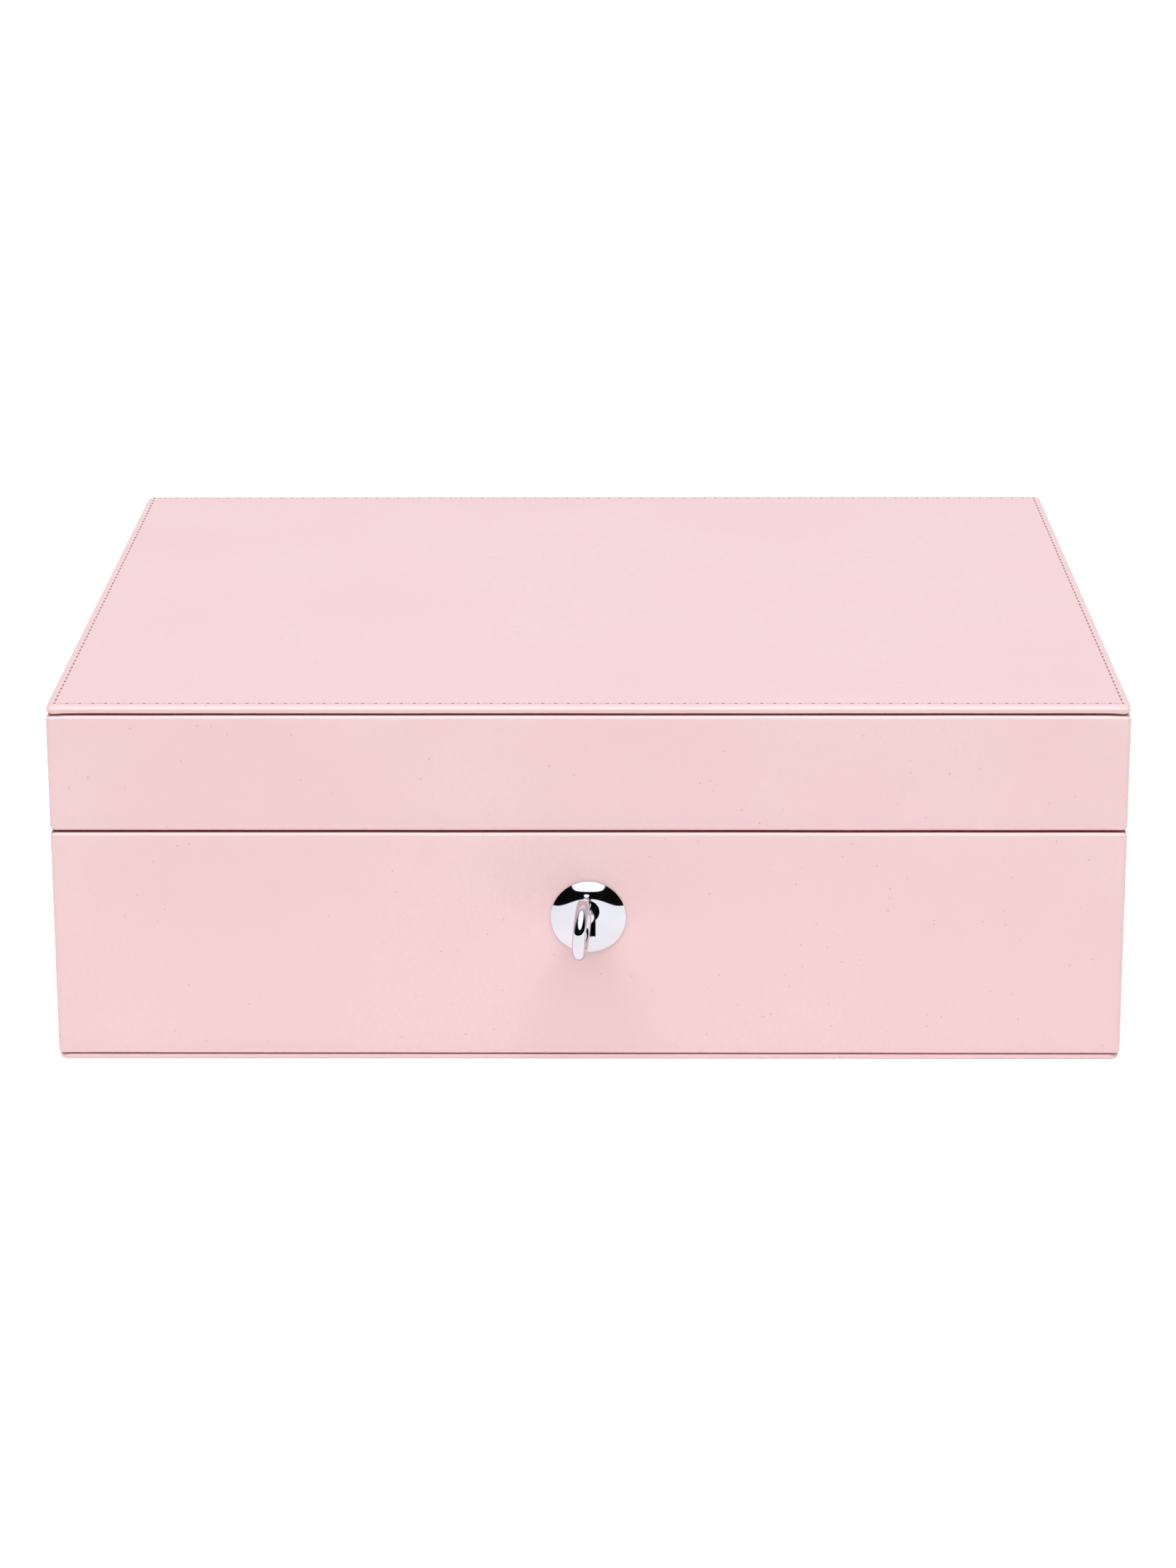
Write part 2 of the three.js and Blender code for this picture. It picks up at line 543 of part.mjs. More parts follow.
// The bolt slides along X; its teeth pass over the feet of the lid's hooks.
function buildBolt() {
  const riserAt = (x) => x - HOOK_STEM / 2 + HOOK_FOOT + BOLT_TRAVEL + RISER_CLEAR;
  const teeth = HOOK_X.flatMap((x) => {
    const tip = x - HOOK_STEM / 2 + HOOK_FOOT + TOOTH_CLEAR;
    const riser = riserAt(x);
    return [
      block([tip, riser + 1], BOLT_Y, TOOTH_Z),
      block([riser, riser + RISER_THICK], BOLT_Y, [BOLT_BAR_Z[0], TOOTH_Z[1]]),
    ];
  });
  const bar = block([riserAt(HOOK_X[0]), riserAt(HOOK_X[1]) + RISER_THICK], BOLT_Y, BOLT_BAR_Z);
  const forkXs = [CAM_PIN_OFFSET - FORK_HALF, CAM_PIN_OFFSET + FORK_HALF];
  const fork = block(forkXs, BOLT_Y, [FORK_BOTTOM, BOLT_BAR_Z[1]]);
  const slotXs = [CAM_PIN_OFFSET - FORK_SLOT_HALF, CAM_PIN_OFFSET + FORK_SLOT_HALF];
  const forkSlot = block(slotXs, grown(BOLT_Y, 1), [KEY_Z, BOLT_BAR_Z[0] - 0.4]);
  place(chest, 'lock_bolt', cut(join(bar, fork, ...teeth), forkSlot), brass);
}

// The cam takes the key's bit in its keyway and drives the bolt with an offset pin.
function buildCam() {
  const opening = wardedHole(KEYWAY.radius, KEYWAY.half, KEYWAY.drop, [CAM_Y[0] - 1, KEYWAY.back]);
  opening.rotateY(THREE.MathUtils.degToRad(KEY_ROLL)).translate(0, 0, KEY_Z);
  const cam = join(
    rodY(CAM_R, 0, KEY_Z, CAM_Y, 32),
    rodY(CAM_PIN_R, CAM_PIN_OFFSET, KEY_Z + CAM_PIN_OFFSET, [KEYWAY.back, BOLT_Y[1] - 0.1], 12),
    rodY(CAM_PIVOT_R, 0, KEY_Z, [KEYWAY.back, CASE_BACK_Y - 0.1], 16),
  );
  place(chest, 'lock_cam', cut(cam, opening), blackened);
}

// A bowed leaf that presses up on the bolt and holds it at either end of its travel.
function buildSpring() {
  const spring = new THREE.Shape();
  spring.moveTo(25.6, 44);
  spring.lineTo(25.6, 47);
  spring.quadraticCurveTo(17, 51.4, 9.6, 45.6);
  spring.lineTo(9.9, 45.2);
  spring.quadraticCurveTo(17, 50.6, 25.1, 46.6);
  spring.lineTo(25.1, 44);
  place(base, 'lock_spring', sectionAlongY(spring, [BOLT_Y[0] + 0.1, BOLT_Y[1] - 0.1]), steel);
}

// A domed plate with a keyhole, flat in the middle and steep at its rim, held by two prongs.
function buildEscutcheon() {
  const steps = 10;
  const radii = Array.from({ length: steps + 1 }, (_, i) => Math.sin((Math.PI / 2) * (i / steps)));
  const outer = radii.map((r) => [PLATE_R * r, -PLATE_RIM - DOME * (1 - r ** DOME_POWER)]);
  const innerR = PLATE_R - SHEET;
  const inner = radii.map((r) => [innerR * r, -(PLATE_RIM + DOME - SHEET) * (1 - r ** DOME_POWER)]);
  const dome = lathe([...outer, ...inner.reverse()], 48).translate(0, -DEPTH / 2 - GAP, PLATE_Z);
  const pins = prongs(0, [-DEPTH / 2 - 1.2, CASE_FRONT_Y - 0.6]);
  const hole = keyhole(0, [-DEPTH / 2 - 6, -DEPTH / 2 + 1]);
  place(base, 'escutcheon', cut(join(dome, ...pins), hole), nickel);
}

// ---- key ----
function buildKey() {
  const key = new THREE.Group();
  key.position.set(0, KEY_PIVOT_Y, KEY_Z);
  const rad = THREE.MathUtils.degToRad;
  key.rotation.set(rad(KEY_DROOP), rad(KEY_ROLL), rad(-KEY_LEAN), 'ZXY');
  chest.add(key);

  const bowSection = new THREE.Shape();
  bowSection.absellipse(BOW_R - BOW_RADIAL / 2, 0, BOW_RADIAL / 2, BOW_THICK / 2, 0, Math.PI * 2);
  const sectionPoints = bowSection.getPoints(3).map((point) => [point.x, point.y]);
  const bow = lathe(sectionPoints, 36).rotateZ(-Math.PI / 2).translate(0, -BOW_DISTANCE, 0);
  const neckY = -BOW_DISTANCE + BOW_R - BOW_RADIAL / 2;
  const shank = lathe([
    [0, neckY], [SHANK_R, neckY], [SHANK_R, -9.6],
    [2, -9.3], [2, -8.7], [SHANK_R + 0.15, -8.4], [1.8, -8.1], [1.8, -7.7], [SHANK_R, -7.4],
    [SHANK_R, 2], [SHANK_R - 0.3, 2.3], [0, 2.3],
  ], 20);
  const bit = block([-BIT_THICK / 2, BIT_THICK / 2], [1, 2.3], [-BIT_DROP, 0]);
  place(key, 'key', join(bow, shank, bit), nickel);
}

buildBase();
buildTray('left');
buildTray('right');
buildLid();
buildHinge('left', hingeSpans[0]);
buildHinge('right', hingeSpans[1]);
buildLock();
buildEscutcheon();
buildKey();

export default chest;
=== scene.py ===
"""Looks of the leather jewellery chest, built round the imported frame. Everything is in metres."""

from contextlib import contextmanager
import json
import math

import bmesh
import bpy
from mathutils import Matrix, Vector, noise


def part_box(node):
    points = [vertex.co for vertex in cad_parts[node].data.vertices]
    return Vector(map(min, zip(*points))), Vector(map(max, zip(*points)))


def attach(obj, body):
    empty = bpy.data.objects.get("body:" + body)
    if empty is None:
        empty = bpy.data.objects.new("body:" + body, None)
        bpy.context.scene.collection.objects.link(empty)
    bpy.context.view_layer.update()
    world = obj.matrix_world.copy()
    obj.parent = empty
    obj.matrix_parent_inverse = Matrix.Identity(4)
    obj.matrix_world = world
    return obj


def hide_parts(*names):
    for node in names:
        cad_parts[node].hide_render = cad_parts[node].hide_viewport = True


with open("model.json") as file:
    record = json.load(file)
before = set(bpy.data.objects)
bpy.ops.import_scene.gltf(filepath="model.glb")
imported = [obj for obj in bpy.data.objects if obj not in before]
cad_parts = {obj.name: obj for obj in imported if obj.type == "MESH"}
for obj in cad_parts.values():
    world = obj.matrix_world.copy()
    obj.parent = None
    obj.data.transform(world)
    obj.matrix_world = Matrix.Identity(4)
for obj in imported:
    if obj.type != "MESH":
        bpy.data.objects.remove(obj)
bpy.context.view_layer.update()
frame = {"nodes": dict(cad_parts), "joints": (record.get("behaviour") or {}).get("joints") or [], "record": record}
MM = 0.001

# ---- sizes taken from the frame ----
COVER_LO, COVER_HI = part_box("bottom_cover")
BASE_LO, BASE_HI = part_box("base_leather")
LID_LO, LID_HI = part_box("lid_leather")
PANEL_LO, PANEL_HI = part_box("lid_panel_leather")
PLATE_LO, PLATE_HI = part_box("escutcheon")
HALF_X, HALF_Y = BASE_HI.x, BASE_HI.y
RIM_INSET = HALF_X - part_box("base_lining_right")[1].x - 0.3 * MM
SKIN = 1.0 * MM
CORNER = 1.6 * MM

JOINTS = {joint["name"]: joint for joint in frame["joints"]}
KEY_AXIS_Z = JOINTS["key_turn"]["pos_m"][2]
HINGE_Y, HINGE_Z = JOINTS["lid_hinge"]["pos_m"][1:]
KEY_OUT = Vector(JOINTS["key_withdraw"]["axis"])

# ---- camera and light ----
# Fitted to the straight edges and seams of the photograph.
LENS, SENSOR_WIDTH = 87.5, 36.0
LENS_SHIFT = (0.0006, -0.1252)
CAMERA_PLACE = Vector((0.0087, -HALF_Y - 0.9714, 0.3981))
PITCH = math.radians(15.23)
YAW = math.radians(-0.52)
ROLL = math.radians(-0.15)
FLOOR_GLOW, FLOOR_TINT, FLOOR_SIZE = 0.22, (1.0, 0.98, 0.94, 1), 60.0
DARK_SIDE, BACK_LIGHT, PANEL_LIGHT, CORE_LIGHT = 0.004, 0.64, 1.65, 3.5
# Ovals of light on a ceiling 1 high: middle towards the front, half width, half length, soft border.
PANEL_OVAL = (1.20, 0.78, 1.32, 0.15)
CORE_OVAL = (0.45, 0.50, 0.35, 0.4)
# The room brightens from the dark side to the back light between these two directions along Y.
FRONT_EDGE, BACK_EDGE = -0.30, 0.25
ROOM_TINT = (0.97, 1.0, 1.05, 1)


def add_object(name, data):
    obj = bpy.data.objects.new(name, data)
    bpy.context.scene.collection.objects.link(obj)
    return obj


def make_camera():
    level = math.cos(PITCH)
    forward = Vector((math.sin(YAW) * level, math.cos(YAW) * level, -math.sin(PITCH)))
    right = Vector((math.cos(YAW), -math.sin(YAW), 0))
    up = right.cross(forward)
    turned_right = right * math.cos(ROLL) + up * math.sin(ROLL)
    turned_up = up * math.cos(ROLL) - right * math.sin(ROLL)
    camera = add_object("camera", bpy.data.cameras.new("camera"))
    camera.data.lens = LENS
    camera.data.sensor_width = SENSOR_WIDTH
    camera.data.shift_x, camera.data.shift_y = LENS_SHIFT
    turn = Matrix((turned_right, turned_up, -forward)).transposed()
    camera.matrix_world = Matrix.Translation(CAMERA_PLACE) @ turn.to_4x4()
    bpy.context.scene.camera = camera


# ---- materials ----
class Nodes:
    """The node tree of a material or a world, with short ways to add and join nodes."""

    def __init__(self, owner, coordinates="Object"):
        owner.use_nodes = True
        self.owner = owner
        self.tree = owner.node_tree
        self.place = self.add("ShaderNodeTexCoord").outputs[coordinates]

    def add(self, kind, **settings):
        node = self.tree.nodes.new(kind)
        for key, value in settings.items():
            setattr(node, key, value)
        return node

    def link(self, source, target):
        self.tree.links.new(source, target)

    def value(self, target, source):
        if isinstance(source, (int, float)):
            target.default_value = source
        else:
            self.link(source, target)

    def noise(self, scale, detail=2.0, roughness=0.5, stretch=None):
        node = self.add("ShaderNodeTexNoise")
        node.inputs["Scale"].default_value = scale
        node.inputs["Detail"].default_value = detail
        node.inputs["Roughness"].default_value = roughness
        self.link(self.stretched(stretch), node.inputs["Vector"])
        return node.outputs["Fac"]

    def cells(self, scale):
        node = self.add("ShaderNodeTexVoronoi")
        node.inputs["Scale"].default_value = scale
        self.link(self.place, node.inputs["Vector"])
        return node.outputs["Distance"]

    def stretched(self, stretch):
        if stretch is None:
            return self.place
        mapping = self.add("ShaderNodeMapping")
        mapping.inputs["Scale"].default_value = stretch
        self.link(self.place, mapping.inputs["Vector"])
        return mapping.outputs["Vector"]

    def math(self, operation, a, b):
        node = self.add("ShaderNodeMath", operation=operation)
        self.value(node.inputs[0], a)
        self.value(node.inputs[1], b)
        return node.outputs["Value"]

    def remap(self, source, low, high, to_low, to_high, interpolation="LINEAR"):
        node = self.add("ShaderNodeMapRange", interpolation_type=interpolation)
        self.link(source, node.inputs["Value"])
        for key, number in (("From Min", low), ("From Max", high), ("To Min", to_low), ("To Max", to_high)):
            node.inputs[key].default_value = number
        return node.outputs["Result"]

    def blend(self, factor, colour_a, colour_b):
        node = self.add("ShaderNodeMix", data_type="RGBA")
        self.value(node.inputs[0], factor)
        for socket, colour in ((node.inputs[6], colour_a), (node.inputs[7], colour_b)):
            if isinstance(colour, tuple):
                socket.default_value = (*colour, 1)
            else:
                self.link(colour, socket)
        return node.outputs[2]

    def bump(self, height, distance, strength=1.0, after=None):
        node = self.add("ShaderNodeBump")
        node.inputs["Strength"].default_value = strength
        node.inputs["Distance"].default_value = distance
        self.link(height, node.inputs["Height"])
        if after is not None:
            self.link(after, node.inputs["Normal"])
        return node.outputs["Normal"]

    def separated(self):
        split = self.add("ShaderNodeSeparateXYZ")
        self.link(self.place, split.inputs[0])
        return split.outputs

    def finish(self, colour, roughness, normal=None, **fixed):
        inputs = self.tree.nodes["Principled BSDF"].inputs
        self.link(colour, inputs["Base Color"])
        self.value(inputs["Roughness"], roughness)
        if normal is not None:
            self.link(normal, inputs["Normal"])
        for key, setting in fixed.items():
            inputs[key.replace("_", " ")].default_value = setting
        return self.owner


def material_nodes(name):
    return Nodes(bpy.data.materials.new(name))


def make_leather(name, colour, shade, speck, painted_seam_shade, painted_rim_highlight):
    """Smooth finished leather: fine grain, a few specks, painted shade deep in the seams and painted highlights on
    the upward-facing rims.
    """
    n = material_nodes(name)
    clouds = n.remap(n.noise(14, 3), 0.35, 0.65, 0, 1)
    grain = n.remap(n.noise(900, 3, 0.6), 0.35, 0.65, 0, 0.8)
    mottled = n.blend(grain, n.blend(clouds, colour, shade), shade)
    dust = n.math("LESS_THAN", n.cells(250), 0.05)
    specked = n.blend(n.math("MULTIPLY", dust, 0.6), mottled, speck)
    # Painted highlight: the rim colour lightens the upward-facing rounded rims.
    rim_highlighted = n.blend(painted_rim_highlight_mask(n), specked, painted_rim_highlight)
    # Painted shade: the seam colour darkens the leather deep in the seams between the covers.
    seam_shaded = n.blend(painted_seam_shade_mask(n), rim_highlighted, painted_seam_shade)
    fold = n.bump(n.noise(60, 3), 0.12 * MM, 0.6)
    pores = n.bump(n.cells(1500), 0.05 * MM, 0.35, fold)
    fine = n.bump(n.noise(2600, 3, 0.6), 0.03 * MM, 0.35, pores)
    gloss = n.remap(n.noise(420, 3), 0.3, 0.7, 0.32, 0.42)
    return n.finish(seam_shaded, gloss, fine, IOR=1.47, Specular_IOR_Level=0.5)


def inset_and_height(n):
    """Distance in from the nearest outer face of the box, and height."""
    split = n.separated()
    insets = [n.math("SUBTRACT", half, n.math("ABSOLUTE", split[axis], 0))
              for axis, half in (("X", HALF_X), ("Y", HALF_Y))]
    return n.math("MINIMUM", *insets), split["Z"]


def band_mask(n, source, start, end, soft):
    """1 between start and end, falling to 0 over a soft border outside them."""
    rising = n.remap(source, start - soft, start, 0, 1)
    return n.math("MULTIPLY", rising, n.remap(source, end, end + soft, 1, 0))


def painted_seam_shade_mask(n):
    """1 deep in the seams, where the covers' edges face each other; it places painted shade there."""
    inset, height = inset_and_height(n)
    near = 0
    seams = ((COVER_HI.z, BASE_LO.z, 0.4), (BASE_HI.z, LID_LO.z, 1.0), (LID_HI.z, PANEL_LO.z, 0.6))
    for low, high, depth in seams:
        seam = band_mask(n, height, low - 0.35 * MM, high + 0.35 * MM, 0.25 * MM)
        near = n.math("MAXIMUM", near, n.math("MULTIPLY", seam, depth))
    return n.math("MULTIPLY", band_mask(n, inset, 0.75 * MM, 1.3 * MM, 0.40 * MM), near)


def painted_rim_highlight_mask(n):
    """1 on the upward-facing rounded rims of the base, the lid and the panel, where a highlight is painted."""
    inset, height = inset_and_height(n)
    near = 0
    for start, end in ((BASE_HI.z - 0.8 * MM, BASE_HI.z), (LID_HI.z - 0.8 * MM, LID_HI.z),
                       (PANEL_HI.z - 1.0 * MM, PANEL_HI.z - 0.7 * MM)):
        near = n.math("MAXIMUM", near, band_mask(n, height, start, end + 0.1 * MM, 0.2 * MM))
    edge = band_mask(n, inset, 0.1 * MM, 0.6 * MM, 0.15 * MM)
    return n.math("MULTIPLY", n.math("MULTIPLY", edge, near), 0.6)


def make_suede(name, colour, nap):
    """Short-napped suede: soft brushed patches, fine fibres and a light sheen."""
    n = material_nodes(name)
    brushed = n.remap(n.noise(38, 4, 0.6, (1, 2.2, 1)), 0.35, 0.65, 0, 1)
    fibres = n.noise(1700, 3, 0.7)
    toned = n.blend(n.remap(fibres, 0.3, 0.7, 0, 0.6), n.blend(brushed, colour, nap), nap)
    soft = n.bump(n.noise(120, 3), 0.25 * MM, 0.5)
    pile = n.bump(fibres, 0.12 * MM, 0.7, soft)
    return n.finish(toned, n.remap(fibres, 0.3, 0.7, 0.85, 1.0), pile, Sheen_Weight=0.35, Sheen_Roughness=0.5)


def make_metal(name, colour, tint, rough, scratch=0.004 * MM):
    """Plated or bright metal: slight tone changes and hairline marks."""
    n = material_nodes(name)
    toned = n.blend(n.remap(n.noise(90, 3), 0.35, 0.65, 0, 1), colour, tint)
    lines = n.noise(900, 4, 0.7, (1, 1, 6))
    gloss = n.remap(lines, 0.3, 0.7, rough * 0.8, rough * 1.35)
    marks = n.bump(lines, scratch, 0.25)
    return n.finish(toned, gloss, marks, Metallic=1.0)


def make_board(name):
    """Bare fibreboard, with short fibres pressed flat."""
    n = material_nodes(name)
    fibres = n.noise(420, 4, 0.7, (1, 1, 4))
    toned = n.blend(n.remap(fibres, 0.3, 0.7, 0, 1), (0.42, 0.29, 0.17), (0.30, 0.19, 0.10))
    spots = n.blend(n.math("LESS_THAN", n.cells(800), 0.16), toned, (0.52, 0.39, 0.25))
    return n.finish(spots, n.remap(fibres, 0.3, 0.7, 0.75, 0.92), n.bump(fibres, 0.1 * MM, 0.5))


def make_thread(name):
    """Waxed twisted thread: the plies show as fine slanting ridges."""
    n = material_nodes(name)
    wave = n.add("ShaderNodeTexWave", wave_type="BANDS", bands_direction="DIAGONAL")
    wave.inputs["Scale"].default_value = 620
    wave.inputs["Distortion"].default_value = 0.6
    n.link(n.place, wave.inputs["Vector"])
    plies = wave.outputs["Fac"]
    toned = n.blend(plies, (0.78, 0.50, 0.49), (0.88, 0.62, 0.60))
    return n.finish(toned, 0.6, n.bump(plies, 0.08 * MM, 0.8), Specular_IOR_Level=0.25)


def make_shadowed(name, colour, deep):
    """Painted shade for a needle hole: a dark leather colour, toned by fine noise."""
    n = material_nodes(name)
    toned = n.blend(n.remap(n.noise(2400, 2), 0.3, 0.7, 0, 1), colour, deep)
    return n.finish(toned, 0.8, n.bump(n.noise(3000, 2), 0.05 * MM, 0.5), Specular_IOR_Level=0.05)


THREAD = make_thread("thread")
# Painted shade for the needle holes, on dark lenses laid over the seam.
HOLE = make_shadowed("needle_hole", (0.30, 0.075, 0.07), (0.20, 0.05, 0.045))
SLOT_MATERIALS = {
    "pink_leather": make_leather(
        "pink_leather",
        colour=(0.890, 0.625, 0.617),
        shade=(0.868, 0.592, 0.583),
        speck=(0.50, 0.28, 0.27),
        # Colour of the painted shade deep in the seams.
        painted_seam_shade=(0.50, 0.11, 0.11),
        # Colour of the painted highlight on the rims.
        painted_rim_highlight=(0.97, 0.86, 0.85),
    ),
    "suede": make_suede("suede", (0.80, 0.58, 0.56), (0.88, 0.68, 0.66)),
    "nickel": make_metal("polished_nickel", (0.70, 0.69, 0.735), (0.655, 0.65, 0.70), 0.05),
    "lock_brass": make_metal("lock_brass", (0.78, 0.57, 0.28), (0.70, 0.50, 0.24), 0.28),
    "lock_black": make_metal("blackened_steel", (0.020, 0.018, 0.016), (0.012, 0.011, 0.010), 0.42),
    "lock_steel": make_metal("lock_steel", (0.58, 0.59, 0.61), (0.50, 0.51, 0.53), 0.30),
    "mirror_glass": make_metal("mirror_glass", (0.92, 0.935, 0.94), (0.90, 0.92, 0.93), 0.012, 0.0005 * MM),
    "box_board": make_board("box_board"),
}


# ---- making pieces ----
def coat(mesh, slot):
    mesh.materials.clear()
    mesh.materials.append(SLOT_MATERIALS[slot])


def make_piece(name, points, faces, slot, body, replaced=(), material=None):
    obj = loose(name, points, faces)
    obj.data.polygons.foreach_set("use_smooth", [True] * len(faces))
    obj.data.materials.append(material or SLOT_MATERIALS[slot])
    return settle(obj, body, replaced)


def loose(name, points, faces):
    """A new object that rides on no body yet, with its faces turned outwards."""
    mesh = bpy.data.meshes.new(name)
    mesh.from_pydata([tuple(p) for p in points], [], faces)
    with edited(mesh) as work:
        bmesh.ops.recalc_face_normals(work, faces=work.faces)
    mesh.update()
    return add_object(name, mesh)


@contextmanager
def edited(mesh):
    """Opens a mesh for editing, and writes it back at the end."""
    work = bmesh.new()
    work.from_mesh(mesh)
    yield work
    work.to_mesh(mesh)
    work.free()


def settle(obj, body, replaced=()):
    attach(obj, body)
    if replaced:
        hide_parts(*replaced)
    return obj


def bridge(rings, closed_along=False, flip=False):
    """Quads between rings of equal length; each ring closes on itself."""
    count = len(rings[0])
    faces = []
    total = len(rings) if closed_along else len(rings) - 1
    for r in range(total):
        a, b = r * count, ((r + 1) % len(rings)) * count
        for i in range(count):
            j = (i + 1) % count
            quad = (a + i, a + j, b + j, b + i)
            faces.append(quad[::-1] if flip else quad)
    return faces


def circle(count):
    return [math.tau * i / count for i in range(count)]


def flattened(rings):
    return [point for ring in rings for point in ring]


def loft(rings, flip=False):
    """Points and faces of rings joined in a row, with a face over each end."""
    count = len(rings[0])
    first = tuple(range(count))
    last = tuple(range((len(rings) - 1) * count, len(rings) * count))
    ends = [first, last[::-1]] if flip else [first[::-1], last]
    return flattened(rings), bridge(rings, flip=flip) + ends


def arc(centre, radius, start, end, steps):
    """Points (inset, height) on an arc; angles in degrees."""
    turns = [math.radians(start + (end - start) * i / steps) for i in range(steps + 1)]
    return [(centre[0] + radius * math.cos(t), centre[1] + radius * math.sin(t)) for t in turns]


class Outline:
    """A rounded rectangle seen from above, whose points can be moved inwards all together."""

    def __init__(self, half_x, half_y, radius, step, arc_steps=6):
        self.half_x, self.half_y, self.radius = half_x, half_y, radius
        self.spots = []
        corners = [(1, -1, -90), (1, 1, 0), (-1, 1, 90), (-1, -1, 180)]
        for index, (sx, sy, start) in enumerate(corners):
            for i in range(arc_steps + 1):
                turn = math.radians(start + 90 * i / arc_steps)
                self.spots.append((sx, sy, math.cos(turn), math.sin(turn), None))
            along_y = index % 2 == 0
            length = 2 * ((half_y if along_y else half_x) - radius)
            count = max(1, round(length / step))
            nx, ny = (sx, 0) if along_y else (0, sy)
            rising = sx if along_y else -sy
            for i in range(1, count):
                self.spots.append((sx, sy, nx, ny, rising * (2 * i / count - 1)))

    def at(self, inset):
        radius = max(self.radius - inset, 0.05 * MM)
        reach_x = self.half_x - inset - radius
        reach_y = self.half_y - inset - radius
        points = []
        for sx, sy, nx, ny, along in self.spots:
            x = sx * reach_x if along is None or nx else along * reach_x
            y = sy * reach_y if along is None or ny else along * reach_y
            points.append((x + nx * radius, y + ny * radius))
        return points


def near_corner(x, y, reach):
    """1 at a corner of the box, falling to 0 at reach along either edge."""
    away = max(HALF_X - abs(x), HALF_Y - abs(y))
    t = max(0.0, 1 - away / reach)
    return t * t * (3 - 2 * t)


def ripple(x, y, z, size=35, amount=0.05 * MM):
    return amount * noise.noise(Vector((x, y, z)) * size)


def leather_band(name, node, body, profile, cutters, dip=0.0):
    """A leather wrap: a closed profile of (inset, height) carried round the box."""
    outline = Outline(HALF_X, HALF_Y, CORNER, 4 * MM)
    rings = []
    for inset, z in profile:
        ring = []
        for x, y in outline.at(inset):
            lowered = dip * near_corner(x, y, 7 * MM) if z > profile[0][1] else 0.0
            edge = ripple(x, y, z) * (1 if inset < SKIN * 0.9 else 0)
            ring.append((x, y, z + edge - lowered))
        rings.append(ring)
    faces = bridge(rings, closed_along=True)
    wrap = make_piece(name, flattened(rings), faces, "pink_leather", body, [node])
    combine(wrap, "DIFFERENCE", cutters)
    shade_by_angle(wrap, 32)


def combine(obj, operation, others):
    """Joins the others to obj or cuts them out of it, exactly, and removes them."""
    for other in others:
        modifier = obj.modifiers.new("combine", "BOOLEAN")
        modifier.operation = operation
        modifier.solver = "EXACT"
        modifier.object = other
    apply_modifiers(obj)
    for other in others:
        bpy.data.objects.remove(other)


def add_bevel(obj, width, segments):
    bevel = obj.modifiers.new("round", "BEVEL")
    bevel.width = width
    bevel.segments = segments
    bevel.limit_method = "ANGLE"
    bevel.angle_limit = math.radians(30)
    return bevel


def apply_modifiers(obj):
    graph = bpy.context.evaluated_depsgraph_get()
    graph.update()
    made = bpy.data.meshes.new_from_object(obj.evaluated_get(graph))
    old = obj.data
    obj.modifiers.clear()
    obj.data = made
    made.name = old.name
    bpy.data.meshes.remove(old)


def cutter_box(low, high):
    corners = [(x, y, z) for x in (low[0], high[0]) for y in (low[1], high[1]) for z in (low[2], high[2])]
    faces = [(0, 1, 3, 2), (4, 6, 7, 5), (0, 4, 5, 1), (2, 3, 7, 6), (0, 2, 6, 4), (1, 5, 7, 3)]
    return loose("cutter", corners, faces)


def cutter_prism(ring, start, end):
    """A closed ring drawn out from start to end."""
    return loose("cutter", *loft([[point + shift for point in ring] for shift in (start, end)]))


def keyhole_outline(extra):
    """The keyhole made wider by extra, in X and Z, counter-clockwise seen from the front."""
    radius, half, drop = KEYHOLE_R + extra, KEYHOLE_HALF + extra, KEYHOLE_DROP + extra
    steps, round_foot = 40, 0.3 * MM
    meet = math.asin(half / radius)
    points = [(half, -drop + round_foot)]
    top = [-math.pi / 2 + meet + (2 * math.pi - 2 * meet) * i / steps for i in range(steps + 1)]
    points += [(radius * math.cos(t), radius * math.sin(t)) for t in top]
    points += [(-half, -drop + round_foot), (-half + round_foot, -drop), (half - round_foot, -drop)]
    return [(x, z + KEY_AXIS_Z) for x, z in points]


# ---- outside leather ----
KEYHOLE_R, KEYHOLE_HALF, KEYHOLE_DROP = 2.9 * MM, 1.9 * MM, 7.1 * MM


def keyhole_cutter(extra, y0, y1):
    ring = [Vector((x, 0, z)) for x, z in keyhole_outline(extra)]
    return cutter_prism(ring, Vector((0, y1, 0)), Vector((0, y0, 0)))


def hinge_cutters():
    """Room for each hinge: its leaves in the rims and its barrel at the back."""
    cutters = []
    for side in ("left", "right"):
        low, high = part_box(f"hinge_{side}_base_leaf")
        x0, x1 = low.x - 0.3 * MM, high.x + 0.3 * MM
        leaf_y = low.y - 0.3 * MM
        cutters.append(cutter_box((x0, leaf_y, HINGE_Z - 1.6 * MM), (x1, HALF_Y + MM, HINGE_Z + 1.6 * MM)))
        ring = [Vector((0, HINGE_Y + 2.6 * MM * math.cos(t), HINGE_Z + 2.6 * MM * math.sin(t)))
                for t in circle(32)]
        cutters.append(cutter_prism(ring, Vector((x0, 0, 0)), Vector((x1, 0, 0))))
    return cutters


def lock_plate_cutter():
    low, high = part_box("lock_selvedge")
    gap = 0.15 * MM
    return cutter_box((low.x - gap, low.y - gap, low.z - 1.5 * MM),
                      (high.x + gap, high.y + gap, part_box("link_plate")[1].z + 1.5 * MM))


